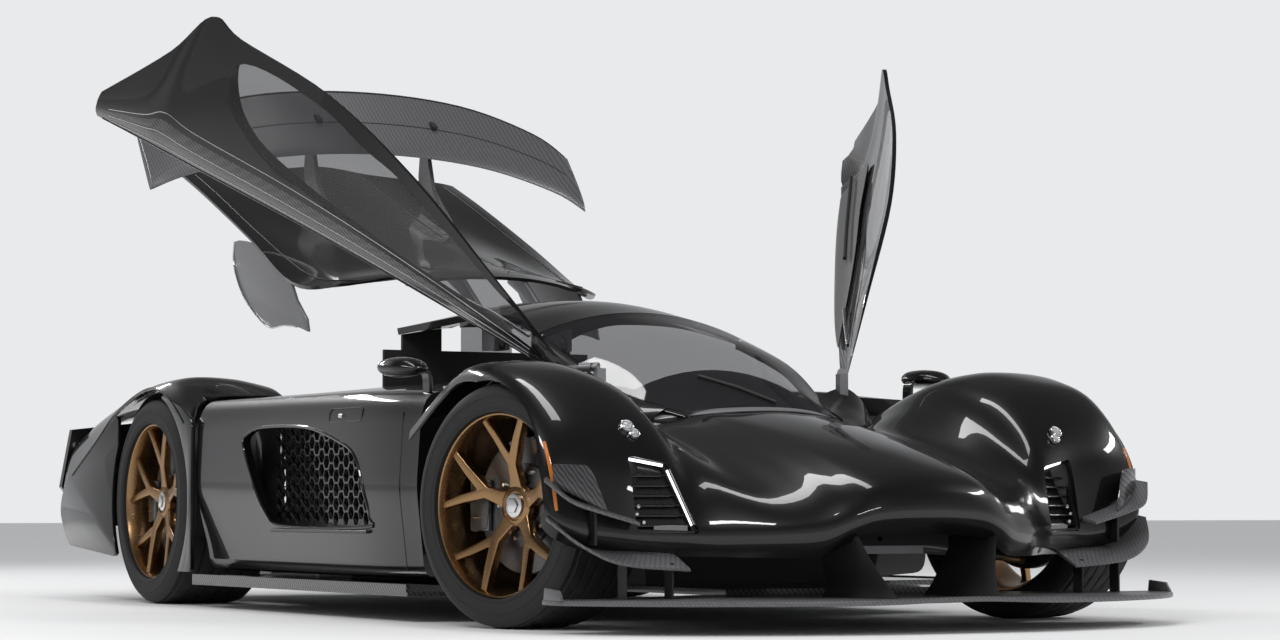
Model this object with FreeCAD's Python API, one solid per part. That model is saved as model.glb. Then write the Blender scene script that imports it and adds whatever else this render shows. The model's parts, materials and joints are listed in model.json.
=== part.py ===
import FreeCAD, Part
import math
import os

# Low two-door mid-engined hypercar with a narrow teardrop canopy, tandem seats and a rear wing.
# Frame: +X forward, +Y to the car's left, +Z up, origin on the ground at mid-length. Millimetres.
# The doors and the rear cover are modelled closed and then swung to the open pose that is stored.

V = FreeCAD.Vector
os.makedirs("parts", exist_ok=True)

# clearance of a seat between two fixed pieces
SEAT = 0.3

# driving dimensions of the chassis
FRONT_AXLE_X = 1395.0
WHEELBASE = 2720.0
REAR_AXLE_X = FRONT_AXLE_X - WHEELBASE
# wheelbase that the body's stations below are written for
DRAWN_WHEELBASE = 2720.0


def along(x):
    # place of a body station: it stretches with the wheelbase between the axles and moves with the rear axle
    if x >= FRONT_AXLE_X:
        return x
    back = FRONT_AXLE_X - x
    past_axle = max(back - DRAWN_WHEELBASE, 0)
    return FRONT_AXLE_X - (back - past_axle) * WHEELBASE / DRAWN_WHEELBASE - past_axle


def stretched(table):
    # rows that begin with their x
    return tuple((along(row[0]),) + tuple(row[1:]) for row in table)


def stretched_lines(table):
    # rows of a y and a line of points (x, z)
    return tuple((y, tuple((along(x), z) for x, z in line)) for y, line in table)


# wheels: tyre radius, tyre width, rim lip radius, outer face from the centre plane
FRONT_TYRE_R = 347.0
FRONT_TYRE_W = 265.0
FRONT_RIM_R = 262.0
REAR_TYRE_R = 364.0
REAR_TYRE_W = 325.0
REAR_RIM_R = 276.0
WHEEL_OUTER_Y = 1000.0
TYRE_BULGE = 14.0
TREAD_EDGE = 28.0
RIM_WALL = 9.0
SPOKE_COUNT = 5
# spoke: where it forks as a share of its reach, width of stem and arms, depth
SPOKE_FORK = 0.5
SPOKE_STEM = 32.0
SPOKE_ARM = 24.0
SPOKE_DEPTH = 28.0
FRONT_HUB_DEPTH = 58.0
REAR_HUB_DEPTH = 34.0
HUB_R = 62.0
AXLE_R = 26.0
AXLE_CLEARANCE = 0.05
DISC_R = 195.0
DISC_T = 24.0
DISC_BACK = 70.0
UPRIGHT_H = 150.0
EAR_R = 20.0
EAR_T = 18.0

# steering
KINGPIN_Y = 840.0
STEER_REST_DEG = 15.0
WELL_CLEARANCE = 6.0

# doors: hinge point, yaw of the hinge line, opening angle and wall
DOOR_HINGE = (along(970.0), 460.0, 765.0)
DOOR_AXIS_YAW = 38.0
DOOR_OPEN_DEG = 81.5
DOOR_WALL = 26.0
GLASS_WALL = 6.0
HINGE_PIN_R = 8.0
HINGE_BARREL_R = 14.0
PANEL_GAP = 6.0

# rear cover: gooseneck hinge point and opening angle
COVER_HINGE_X = along(-305.0)
COVER_HINGE_Z = 900.0
COVER_OPEN_DEG = 27.0
COVER_ARM_Y = 120.0
COVER_WALL = 16.0
ARM_T = 16.0
ROOF_WALL = 24.0

# body panels: wall, and half-width of the deck between the rear quarters
PANEL_WALL = 14.0
DECK_HALF = 600.0

# tow threads: hole radius and places
TOW_R = 9.0
TOW_FRONT_X = 1700.0
TOW_FRONT_Y = 120.0
TOW_FRONT_Z = 252.0
TOW_FRONT_DEPTH = 60.0
TOW_REAR_Y = 300.0
TOW_REAR_Z = 290.0

# wing
WING_HALF_SPAN = 905.0
WING_CHORD = 300.0
WING_T = 30.0
WING_LE_X = along(-1745.0)
WING_LE_Z = 1040.0
WING_TIP_DROP = 190.0
WING_ANGLE = 27.0
STRUT_Y = 240.0
STRUT_T = 16.0


def rotated(shape, centre, axis, degrees):
    copy = shape.copy()
    copy.rotate(V(*centre), V(*axis), degrees)
    return copy


def mirrored(shape):
    return shape.mirror(V(0, 0, 0), V(0, 1, 0))


def export(name, shape):
    shape.exportStep("parts/" + name + ".step")


def box(x0, y0, z0, x1, y1, z1):
    return Part.makeBox(x1 - x0, y1 - y0, z1 - z0, V(x0, y0, z0))


def y_cylinder(radius, x, z, y0, y1):
    return Part.makeCylinder(radius, y1 - y0, V(x, y0, z), V(0, 1, 0))


def offset_line(points, wall):
    # moves an open polyline to its right-hand side by the wall, with mitred corners
    moved = []
    last = len(points) - 1
    for i, (a, b) in enumerate(points):
        normals = []
        for j, k in ((i - 1, i), (i, i + 1)):
            if 0 <= j and k <= last:
                da = points[k][0] - points[j][0]
                db = points[k][1] - points[j][1]
                size = math.hypot(da, db)
                normals.append((db / size, -da / size))
        na = sum(n[0] for n in normals) / len(normals)
        nb = sum(n[1] for n in normals) / len(normals)
        square = na * na + nb * nb
        scale = min(1.0 / square, 2.0)
        moved.append((a + na * wall * scale, b + nb * wall * scale))
    return moved


def polygon(points):
    return Part.makePolygon(points + [points[0]])


def loft_x(stations):
    # closed sections in planes across the car: x, then points (y, z)
    wires = [polygon([V(x, y, z) for y, z in points]) for x, points in stations]
    return Part.makeLoft(wires, True, True)


def loft_y(stations):
    # closed sections in planes along the car: y, then points (x, z)
    wires = [polygon([V(x, y, z) for x, z in points]) for y, points in stations]
    return Part.makeLoft(wires, True, True)


def shell_x(stations, wall):
    return loft_x([(x, line + offset_line(line, wall)[::-1]) for x, line in stations])


def shell_y(stations, wall):
    # the lines run rearward, so their inside is on the left-hand side
    return loft_y([(y, line + offset_line(line, -wall)[::-1]) for y, line in stations])


def prism_y(points, y0, y1):
    face = Part.Face(polygon([V(x, y0, z) for x, z in points]))
    return face.extrude(V(0, y1 - y0, 0))


def prism_x(points, x0, x1):
    face = Part.Face(polygon([V(x0, y, z) for y, z in points]))
    return face.extrude(V(x1 - x0, 0, 0))


def prism_z(points, z0, z1):
    face = Part.Face(polygon([V(x, y, z0) for x, y in points]))
    return face.extrude(V(0, 0, z1 - z0))


def tube(a, b, radius):
    way = V(*b) - V(*a)
    return Part.makeCylinder(radius, way.Length, V(*a), way)


def fuse(shapes):
    whole = shapes[0]
    for piece in shapes[1:]:
        whole = whole.fuse(piece)
    return whole.removeSplitter()


# front wells: a ball about the kingpin takes the steered tyre, a drum opens the arch outside it
BALL_R = math.hypot(FRONT_TYRE_R, WHEEL_OUTER_Y - TREAD_EDGE - KINGPIN_Y) + WELL_CLEARANCE
ARCH_FROM_Y = 900.0


def front_well():
    ball = Part.makeSphere(BALL_R, V(FRONT_AXLE_X, KINGPIN_Y, FRONT_TYRE_R))
    drum = y_cylinder(FRONT_TYRE_R + WELL_CLEARANCE, FRONT_AXLE_X, FRONT_TYRE_R, ARCH_FROM_Y, 1200)
    return ball.fuse(drum)


def rear_well():
    inner = WHEEL_OUTER_Y - REAR_TYRE_W - 32
    return y_cylinder(REAR_TYRE_R + 20, REAR_AXLE_X, REAR_TYRE_R, inner, 1200)


# front clam: one shell over nose and fenders; columns: y, then points (x, z) from the lip to the rear edge
CLAM = stretched_lines((
    (0, ((2118, 266), (2158, 305), (2166, 352), (2120, 428), (1940, 498),
         (1700, 556), (1450, 606), (1240, 640))),
    (160, ((2106, 260), (2146, 298), (2154, 344), (2106, 416), (1928, 485),
           (1688, 545), (1440, 596), (1228, 630))),
    (240, ((2088, 240), (2126, 276), (2132, 326), (2072, 396), (1900, 463),
           (1670, 526), (1425, 582), (1205, 618))),
    (320, ((2056, 206), (2086, 240), (2090, 300), (2020, 372), (1862, 440),
           (1640, 508), (1400, 570), (1175, 604))),
    (440, ((1990, 203), (2014, 236), (2014, 292), (1935, 370), (1780, 436),
           (1580, 502), (1340, 560), (1115, 592))),
    (560, ((1893, 205), (1913, 240), (1907, 295), (1803, 425), (1655, 530),
           (1480, 612), (1240, 650), (980, 610))),
    (640, ((1845, 205), (1866, 245), (1860, 300), (1775, 488), (1640, 612),
           (1470, 690), (1210, 722), (900, 640))),
    (760, ((1792, 208), (1815, 248), (1812, 305), (1757, 508), (1640, 642),
           (1480, 727), (1225, 757), (850, 655))),
    (900, ((1772, 225), (1798, 265), (1796, 320), (1755, 506), (1640, 644),
           (1480, 728), (1225, 755), (835, 620))),
    (985, ((1755, 262), (1782, 300), (1778, 345), (1742, 490), (1628, 628),
           (1474, 712), (1222, 738), (865, 585))),
    (1012, ((1738, 300), (1764, 330), (1762, 365), (1728, 458), (1605, 590),
            (1460, 668), (1215, 695), (890, 540))),
))


def clam_lines():
    right = [(-y, list(line)) for y, line in CLAM[:0:-1]]
    return right + [(y, list(line)) for y, line in CLAM]


def above_clam(depth):
    # everything above the clam's inner face, lowered by the depth
    stations = []
    for y, line in clam_lines():
        inner = offset_line(line, -depth)
        ahead = inner[0][0] + 200
        stations.append((y, inner + [(inner[-1][0], 1300), (ahead, 1300), (ahead, inner[0][1])]))
    return loft_y(stations)


def front_clam():
    shell = shell_y(clam_lines(), PANEL_WALL)
    shell = shell.cut(front_well()).cut(mirrored(front_well()))
    shell = shell.cut(above_crown(WINDSCREEN, GLASS_WALL + 1)).cut(pillar()).cut(mirrored(pillar()))
    lamp = lamp_block(0, 200, -200)
    return shell.cut(lamp).cut(mirrored(lamp))


# headlamp outline seen from the front as (y, z), and the plane of its face through three points
LAMP = ((592, 268), (640, 462), (752, 485), (752, 272))
LAMP_FACE = ((1872, 592, 268), (1780, 640, 462), (1812, 752, 272))
LAMP_DEPTH = 34.0
LAMP_WALL = 9.0
LOUVRE_COUNT = 6
LOUVRE_T = 4.0
LOUVRE_LOW = 290.0
LOUVRE_HIGH = 455.0


def lamp_x(y, z):
    a, b, c = (V(*point) for point in LAMP_FACE)
    normal = (b - a).cross(c - a)
    return a.x - (normal.y * (y - a.y) + normal.z * (z - a.z)) / normal.x


def lamp_block(inset, front, back):
    # prism along X over the lamp's outline, drawn in by the inset, with slanting ends
    middle_y = sum(y for y, z in LAMP) / len(LAMP)
    middle_z = sum(z for y, z in LAMP) / len(LAMP)
    corners = [(y - math.copysign(inset, y - middle_y), z - math.copysign(inset, z - middle_z))
               for y, z in LAMP]
    wires = [polygon([V(lamp_x(y, z) + step, y, z) for y, z in corners]) for step in (front, back)]
    return Part.makeLoft(wires, True, True)


def headlamp():
    # open-fronted pod with horizontal louvres
    pod = lamp_block(SEAT, -3, -3 - LAMP_DEPTH).cut(lamp_block(LAMP_WALL, 10, LAMP_WALL - LAMP_DEPTH))
    reach = lamp_block(LAMP_WALL - 1, -8, 2 - LAMP_DEPTH)
    pitch = (LOUVRE_HIGH - LOUVRE_LOW) / LOUVRE_COUNT
    louvres = []
    for i in range(LOUVRE_COUNT):
        z = LOUVRE_LOW + i * pitch
        louvres.append(box(1600, 560, z, 1900, 800, z + LOUVRE_T).common(reach))
    return fuse([pod] + louvres).cut(front_well())


# canopy: columns x, half-width, side height, crown height
WINDSCREEN = stretched((
    (1236, 255, 622, 646),
    (1000, 345, 690, 778),
    (760, 385, 800, 890),
    (490, 372, 895, 968),
))
ROOF = stretched((
    (484, 370, 896, 970),
    (200, 318, 962, 1022),
    (-150, 286, 992, 1040),
    (-400, 295, 985, 1030),
    (-655, 345, 966, 1002),
))


def crown_line(half, side, crown, points=7):
    # arc through both sides and the crown, as a few points from right to left
    rise = crown - side
    radius = (half * half + rise * rise) / (2 * rise)
    reach = math.asin(half / radius)
    line = []
    for i in range(points):
        a = -reach + 2 * reach * i / (points - 1)
        line.append((radius * math.sin(a), crown - radius + radius * math.cos(a)))
    return line


def crown_height(table, x, y):
    # height of the canopy's outer face over a point of the plan
    for (xa, ha, sa, ca), (xb, hb, sb, cb) in zip(table, table[1:]):
        if xa >= x >= xb:
            t = (xa - x) / (xa - xb)
            half = ha + (hb - ha) * t
            crown = ca + (cb - ca) * t
            rise = crown - (sa + (sb - sa) * t)
            radius = (half * half + rise * rise) / (2 * rise)
            return crown - radius + math.sqrt(radius * radius - y * y)
    raise ValueError("outside the canopy")


def above_crown(table, depth):
    # everything above the canopy's inner face, lowered by the depth
    stations = []
    for x, half, side, crown in table:
        inner = offset_line(crown_line(half, side, crown), depth)
        stations.append((x, inner + [(inner[-1][0], 1300), (inner[0][0], 1300)]))
    return loft_x(stations)


def crown_shell(table, wall):
    stations = [(x, crown_line(half, side, crown)) for x, half, side, crown in table]
    return shell_x(stations, wall)


def windscreen():
    return crown_shell(WINDSCREEN, GLASS_WALL)


def pillar():
    # screen pillar on the left: columns out from the glass edge and down from it, at each station
    section = ((-4, -GLASS_WALL - SEAT), (16, -9), (10, -40), (-24, -34))
    return loft_x([(x, [(half + out, side + down) for out, down in section])
                   for x, half, side, crown in WINDSCREEN])


def roof():
    shell = crown_shell(ROOF, ROOF_WALL)
    for side in (1, -1):
        y = side * COVER_ARM_Y
        shell = shell.cut(box(ROOF[-1][0] - 45, y - ARM_T, 800, COVER_HINGE_X + 60, y + ARM_T, 1100))
    pillars = [pillar(), mirrored(pillar())]
    joint_x, joint_y = ROOF[0][:2]
    links = [box(joint_x - 8, side * joint_y - 12, 858, joint_x + 10, side * joint_y + 12, 886)
             for side in (1, -1)]
    return fuse([shell] + pillars + links).cut(tub_block())


# doors, closed: x, then five points (y, z) from roof edge to shoulder
DOOR = stretched((
    (925, ((500, 775), (506, 772), (515, 768), (525, 760), (532, 748))),
    (600, ((430, 862), (470, 838), (520, 808), (562, 776), (585, 740))),
    (200, ((345, 965), (440, 925), (535, 862), (615, 800), (655, 737))),
    (-200, ((318, 998), (435, 958), (570, 882), (680, 808), (730, 735))),
    (-600, ((368, 978), (490, 943), (635, 888), (755, 818), (812, 732))),
    (-745, ((372, 968), (490, 935), (640, 885), (775, 820), (842, 730))),
    (-820, ((548, 925), (640, 896), (730, 862), (806, 808), (856, 728))),
    (-1040, ((820, 785), (840, 780), (860, 770), (885, 750), (900, 724))),
))
DOOR_RABBET = 40.0
# window opening in the door, seen from the side: (x, z)
WINDOW = tuple((along(x), z) for x, z in (
    (840, 793), (700, 830), (600, 850), (400, 905), (180, 955), (0, 972), (-180, 985), (-400, 980),
    (-560, 960), (-520, 925), (-380, 880), (-180, 850), (100, 826), (400, 800), (700, 776), (840, 768)))


def door_open(shape):
    return rotated(shape, DOOR_HINGE, hinge_line(), -DOOR_OPEN_DEG)


def door_room():
    # room below and inside the closed door's lower edge
    stations = []
    ends = ((DOOR[0][0] + 30, DOOR[0][1]), (DOOR[-1][0] - PANEL_GAP - 8, DOOR[-1][1]))
    for x, line in ends[:1] + DOOR + ends[1:]:
        edge_y, edge_z = line[-1]
        edge_y += PANEL_GAP
        low = edge_z - DOOR_RABBET
        stations.append((x, [(edge_y, edge_z + 90), (edge_y, low), (300, low), (300, edge_z + 90)]))
    return loft_x(stations)


def door_shell():
    skin = shell_x([(x, list(line)) for x, line in DOOR], DOOR_WALL)
    skin = skin.cut(prism_y(list(WINDOW), 200, 1000))
    x, y, z = DOOR_HINGE
    along = hinge_line()
    barrel = Part.makeCylinder(HINGE_BARREL_R, 40, V(x, y, z) - along * 20, along)
    bore = Part.makeCylinder(HINGE_PIN_R + AXLE_CLEARANCE, 60, V(x, y, z) - along * 30, along)
    lever = tube((x - 8, y + 6, z - 2), (x - 65, y + 52, z - 9), 8)
    return fuse([skin, lever, barrel]).cut(bore)


def hinge_line():
    yaw = math.radians(DOOR_AXIS_YAW)
    return V(math.cos(yaw), -math.sin(yaw), 0)


def door_glass():
    inner = [(x, offset_line(line, 8)) for x, line in DOOR[:-1]]
    pane = shell_x(inner, GLASS_WALL)
    hole = prism_y(list(WINDOW), 200, 1000)
    return pane.common(hole)


def door_hinge_pin():
    # ear on the tub's shoulder and the pin that the door's barrel turns on
    x, y, z = DOOR_HINGE
    along = hinge_line()
    pin = Part.makeCylinder(HINGE_PIN_R, 64, V(x, y, z) - along * 22, along)
    ear_at = V(x, y, z) + along * 26
    ear = Part.makeCylinder(HINGE_BARREL_R, 16, ear_at, along)
    foot = box(ear_at.x + 4, ear_at.y - 26, 500, ear_at.x + 30, ear_at.y + 4, z - 4)
    return fuse([pin, ear, foot]).cut(tub_block())


# rear cover, closed: x, then five points (y, z) from the middle to the edge
COVER_EDGE = DECK_HALF - 12
COVER = stretched((
    (-662, ((0, 1004), (130, 1000), (225, 988), (300, 972), (338, 960))),
    (-765, ((0, 982), (130, 977), (225, 966), (300, 952), (340, 942))),
    (-835, ((0, 962), (180, 952), (330, 928), (450, 902), (508, 880))),
    (-1060, ((0, 915), (200, 895), (360, 860), (500, 830), (COVER_EDGE, 790))),
    (-1500, ((0, 850), (200, 820), (380, 795), (520, 788), (COVER_EDGE, 775))),
    (-2000, ((0, 800), (200, 775), (380, 760), (520, 755), (COVER_EDGE, 745))),
    (-2300, ((0, 770), (200, 748), (380, 735), (520, 728), (COVER_EDGE, 718))),
))
# side skirt under the cover's edge, seen from the side
SKIRT = tuple((along(x), z) for x, z in (
    (-1075, 780), (-1460, 768), (-1640, 700), (-1600, 620), (-1470, 560), (-1300, 545), (-1170, 560),
    (-1060, 618), (-950, 662), (-850, 688), (-885, 722), (-1000, 745)))
SKIRT_T = 12.0


def cover_open(shape):
    return rotated(shape, (COVER_HINGE_X, 0, COVER_HINGE_Z), (0, 1, 0), COVER_OPEN_DEG)


def cover_shell():
    stations = []
    for x, half in COVER:
        line = [(-y, z) for y, z in half[:0:-1]] + list(half)
        stations.append((x, line))
    skin = shell_x(stations, COVER_WALL)
    arms = []
    for side in (1, -1):
        y0 = side * COVER_ARM_Y - ARM_T / 2
        front, back = COVER[0][0], COVER[1][0] - 15
        path = ((COVER_HINGE_X - 14, 886), (COVER_HINGE_X + 14, 886), (COVER_HINGE_X + 14, 914),
                (COVER_HINGE_X - 60, 934), (front - 6, 990), (back, 956), (back, 932), (front + 2, 935))
        arms.append(prism_y(list(path), y0, y0 + ARM_T))
        arms.append(y_cylinder(20, COVER_HINGE_X, COVER_HINGE_Z, y0, y0 + ARM_T))
    skirt = prism_y(list(SKIRT), COVER_EDGE - 4 - SKIRT_T, COVER_EDGE - 4)
    whole = fuse([skin, skirt, mirrored(skirt)] + arms)
    for side in (1, -1):
        y0 = side * COVER_ARM_Y - 20
        whole = whole.cut(y_cylinder(8 + AXLE_CLEARANCE, COVER_HINGE_X, COVER_HINGE_Z, y0, y0 + 40))
    return whole


def wing_section(chord, thick):
    # flat-bottomed blade section from leading edge back, (x back, z)
    return ((0, 0), (0.08 * chord, 0.5 * thick), (0.35 * chord, thick * 0.8), (chord, 0.35 * thick),
            (chord, 0.1 * thick), (0.5 * chord, -0.2 * thick), (0.08 * chord, -0.3 * thick))


def wing():
    lean = math.radians(WING_ANGLE)
    stations = []
    # columns: share of half-span, share of tip drop, chord share
    shape = ((-1.0, 1.0, 0.86), (-0.82, 0.60, 0.95), (-0.45, 0.16, 1.0), (0.0, 0.0, 1.0),
             (0.45, 0.16, 1.0), (0.82, 0.60, 0.95), (1.0, 1.0, 0.86))
    for span, drop, share in shape:
        points = []
        for back, up in wing_section(WING_CHORD * share, WING_T):
            x = WING_LE_X - back * math.cos(lean) - up * math.sin(lean)
            z = WING_LE_Z + back * math.sin(lean) + up * math.cos(lean) - WING_TIP_DROP * drop
            points.append((x, z))
        stations.append((span * WING_HALF_SPAN, points))
    return loft_y(stations)


def wing_struts():
    # outline seen from the side, x from the wing's leading edge
    outer = [(WING_LE_X + back, z) for back, z in
             ((-95, 1118), (-160, 1150), (-215, 1080), (-155, 900), (-55, 780), (245, 790), (185, 850),
              (-15, 900), (-125, 1010))]
    struts = []
    for side in (1, -1):
        y0 = side * STRUT_Y - STRUT_T / 2
        strut = prism_y(outer, y0, y0 + STRUT_T).cut(wing()).cut(cover_shell())
        struts.append(largest(strut))
    return struts


def largest(shape):
    return max(shape.Solids, key=lambda solid: solid.Volume)


def rim(radius, width, lip_y, depth):
    # barrel, five forked spokes and a centre-lock hub; axle along Y at the origin
    inner_y = lip_y - width
    outline = ((radius, lip_y), (radius - RIM_WALL, lip_y), (radius - RIM_WALL - 8, lip_y - 40),
               (radius - RIM_WALL - 8, inner_y + 20), (radius - RIM_WALL, inner_y), (radius, inner_y))
    barrel = Part.Face(polygon([V(r, y, 0) for r, y in outline])).revolve(V(0, 0, 0), V(0, 1, 0), 360)
    hub = y_cylinder(HUB_R, 0, 0, lip_y - depth - DISC_BACK, lip_y - depth)
    reach = radius - RIM_WALL - 4
    fork = SPOKE_FORK * reach
    end = 1.06 * reach
    side = end * math.sin(math.pi / SPOKE_COUNT / 2)
    forked = [(-22, HUB_R - 12), (-SPOKE_STEM / 2, fork), (-side - SPOKE_ARM / 2, end),
              (-side + SPOKE_ARM / 2, end),
              (0, fork + 2.2 * SPOKE_ARM), (side - SPOKE_ARM / 2, end), (side + SPOKE_ARM / 2, end),
              (SPOKE_STEM / 2, fork), (22, HUB_R - 12)]
    rake = math.degrees(math.atan2(depth - 5, reach - HUB_R))
    face_y = lip_y - depth - 6
    spoke = rotated(prism_y(forked, face_y - SPOKE_DEPTH, face_y), (0, face_y - 14, HUB_R), (1, 0, 0), -rake)
    spoke = spoke.common(y_cylinder(reach + 2, 0, 0, inner_y, lip_y + 30))
    spokes = [rotated(spoke, (0, 0, 0), (0, 1, 0), 360.0 / SPOKE_COUNT * i) for i in range(SPOKE_COUNT)]
    disc = y_cylinder(DISC_R, 0, 0, lip_y - depth - DISC_BACK, lip_y - depth - DISC_BACK + DISC_T)
    whole = fuse([barrel, hub, disc] + spokes)
    return whole.cut(y_cylinder(AXLE_R + AXLE_CLEARANCE, 0, 0, inner_y - 50, lip_y - depth - 30))


def tyre(radius, width, rim_r, lip_y):
    # ring with flat side walls, sloping shoulders and a straight tread
    inner_y = lip_y - width
    bulge = TYRE_BULGE / 2
    outline = ((rim_r + 0.3, lip_y + bulge), (rim_r + 0.3, inner_y - bulge), (radius - 32, inner_y - bulge),
               (radius, inner_y + TREAD_EDGE), (radius, lip_y - TREAD_EDGE), (radius - 32, lip_y + bulge))
    return Part.Face(polygon([V(r, y, 0) for r, y in outline])).revolve(V(0, 0, 0), V(0, 1, 0), 360)


def knuckle(lip_y, depth, ear_y):
    # upright with its axle, caliper and ball-joint ears; axle along Y at the origin
    disc_in = lip_y - depth - DISC_BACK
    disc_out = disc_in + DISC_T
    upright_out = disc_in - 30
    upright_in = upright_out - 34
    axle = y_cylinder(AXLE_R, 0, 0, upright_in, lip_y - depth - 36)
    carrier = y_cylinder(66, 0, 0, upright_in, disc_in - 12)
    upright = box(-42, upright_in, -UPRIGHT_H + 14, 42, upright_out, UPRIGHT_H - 14)
    ears = []
    for z in (-UPRIGHT_H, UPRIGHT_H - EAR_T):
        ears.append(box(-EAR_R, min(ear_y, upright_out - 14), z, EAR_R, max(ear_y, upright_out), z + EAR_T))
        ears.append(Part.makeCylinder(EAR_R, EAR_T, V(0, ear_y, z)))
    back = -DISC_R - 26
    inner = box(back, disc_in - 22, -72, -DISC_R + 62, disc_in - 4, 72)
    bridge = box(back, disc_in - 22, -72, -DISC_R - 5, disc_out + 14, 72)
    outer = box(back, disc_out + 4, -72, -DISC_R + 52, disc_out + 14, 72)
    bracket = box(-DISC_R + 40, upright_in, -26, -30, disc_in - 8, 26)
    return fuse([axle, carrier, upright, inner, bridge, outer, bracket] + ears)


def placed(shape, x, z, steer=0.0, side=1):
    copy = shape.copy()
    copy.translate(V(x, 0, z))
    if side < 0:
        copy = mirrored(copy)
    if steer:
        copy.rotate(V(x, side * KINGPIN_Y, z), V(0, 0, 1), steer)
    return copy


# tub outside and inside: x, then bottom half-width, bottom height, top half-width, top height
TUB_FRONT_X = along(1200.0)
TUB_REAR_X = along(-640.0)
TUB_FLOOR = 110.0
CABIN_FLOOR = 150.0
TUB_OUT = stretched((
    (1200, 380, TUB_FLOOR, 400, 596), (1080, 400, TUB_FLOOR, 420, 600), (600, 500, TUB_FLOOR, 560, 690),
    (-200, 540, TUB_FLOOR, 600, 690), (-640, 520, TUB_FLOOR, 560, 690)))
TUB_IN = stretched((
    (1040, 350, CABIN_FLOOR, 370, 640), (600, 400, CABIN_FLOOR, 460, 760), (-200, 430, CABIN_FLOOR, 490, 760),
    (-590, 420, CABIN_FLOOR, 470, 760)))


def tub_loft(table, trim):
    return loft_x([(x, [(-low + trim, z0), (low - trim, z0), (high - trim, z1), (-high + trim, z1)])
                   for x, low, z0, high, z1 in table])


def tub_block():
    return tub_loft(TUB_OUT, 0)


def tub():
    body = tub_block().cut(tub_loft(TUB_IN, 0))
    body = body.cut(front_well()).cut(mirrored(front_well()))
    bulkhead = box(TUB_REAR_X - 15, -400, 680, TUB_REAR_X, 400, 890)
    posts = [box(TUB_REAR_X - 15, y0, 880, TUB_REAR_X, y0 + 150, 1050) for y0 in (-330, 180)]
    wall = box(TUB_REAR_X - 15, -520, 150, TUB_REAR_X + 20, 520, 690)
    top = fuse([bulkhead, wall] + posts).cut(above_crown(ROOF, ROOF_WALL + SEAT))
    whole = fuse([body, top])
    return whole.cut(above_clam(PANEL_WALL + SEAT))


def cover_hinges():
    # pairs of ears under the roof with a pin for each gooseneck arm
    brackets = []
    for side in (1, -1):
        y = side * COVER_ARM_Y
        ears = [box(-380, y + y0, 880, -285, y + y0 + 18, 1100) for y0 in (-30, 12)]
        pin = y_cylinder(HINGE_PIN_R, COVER_HINGE_X, COVER_HINGE_Z, y - 30, y + 30)
        brackets.append(fuse(ears + [pin]).cut(above_crown(ROOF, ROOF_WALL + SEAT)))
    return Part.makeCompound(brackets)


# side pods: x, then points (y, z) of the outside; the duct inside is drawn in by the wall
POD = stretched((
    (770, ((600, 110), (900, 130), (930, 400), (915, 630), (885, 690), (612, 700))),
    (400, ((612, 110), (930, 130), (965, 400), (955, 640), (925, 700), (640, 735))),
    (-400, ((612, 110), (930, 130), (970, 400), (965, 640), (935, 704), (640, 738))),
    (-900, ((612, 110), (930, 130), (990, 400), (985, 640), (950, 708), (640, 738))),
))
POD_DUCT = stretched((
    (740, ((635, 150), (880, 165), (900, 400), (890, 610), (860, 655), (640, 660))),
    (400, ((650, 150), (905, 165), (935, 400), (928, 620), (895, 665), (665, 675))),
    (-400, ((650, 150), (905, 165), (940, 400), (938, 620), (905, 668), (665, 678))),
    (-960, ((650, 150), (905, 165), (960, 400), (955, 620), (920, 672), (665, 678))),
))
# mouth of the intake seen from the side, and the honeycomb behind it
MOUTH = tuple((along(x), z) for x, z in (
    (-520, 545), (-500, 585), (-360, 606), (0, 598), (250, 551), (380, 502), (450, 390), (470, 310),
    (440, 280),
    (-210, 278), (-350, 323), (-440, 433)))
MESH_Y = 846.0
MESH_T = 12.0
CELL_PITCH = 46.0
CELL_WEB = 6.0


def side_pod():
    # hollow pod beside the cabin with a tall intake in its flank
    pod = loft_x([(x, list(line)) for x, line in POD]).cut(loft_x([(x, list(line)) for x, line in POD_DUCT]))
    mouth = prism_y(list(MOUTH), MESH_Y + MESH_T / 2 + 8, 1100)
    return largest(pod.cut(mouth).cut(front_well()).cut(rear_well()).cut(door_room()))


def honeycomb_holes():
    # hexagons behind the mouth, in rows that are staggered by half a pitch
    size = (CELL_PITCH - CELL_WEB) / math.sqrt(3)
    step = CELL_PITCH * math.sqrt(3) / 2
    xs = [x for x, z in MOUTH]
    zs = [z for x, z in MOUTH]
    holes = []
    for i in range(int((max(xs) - min(xs)) / step)):
        for j in range(int((max(zs) - min(zs)) / CELL_PITCH)):
            x = min(xs) + step * (i + 0.75)
            z = min(zs) + CELL_PITCH * (j + 0.6 + 0.4 * (i % 2))
            turns = [k * math.pi / 3 for k in range(6)]
            holes.append([(x + size * math.cos(turn), z + size * math.sin(turn)) for turn in turns])
    return holes


def side_mesh():
    # honeycomb panel across the duct, behind the mouth
    edge = ((along(-700), 100), (along(420), 100), (along(420), 800), (along(-700), 800))
    low = MESH_Y - MESH_T / 2
    wires = [polygon([V(x, low, z) for x, z in points]) for points in [list(edge)] + honeycomb_holes()]
    slab = Part.makeFace(wires, "Part::FaceMakerCheese").extrude(V(0, MESH_T, 0))
    duct = loft_x([(x, list(line)) for x, line in POD_DUCT])
    lifted = duct.copy()
    lifted.translate(V(0, 0, SEAT))
    return largest(slab.common(duct.common(lifted)))


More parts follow.
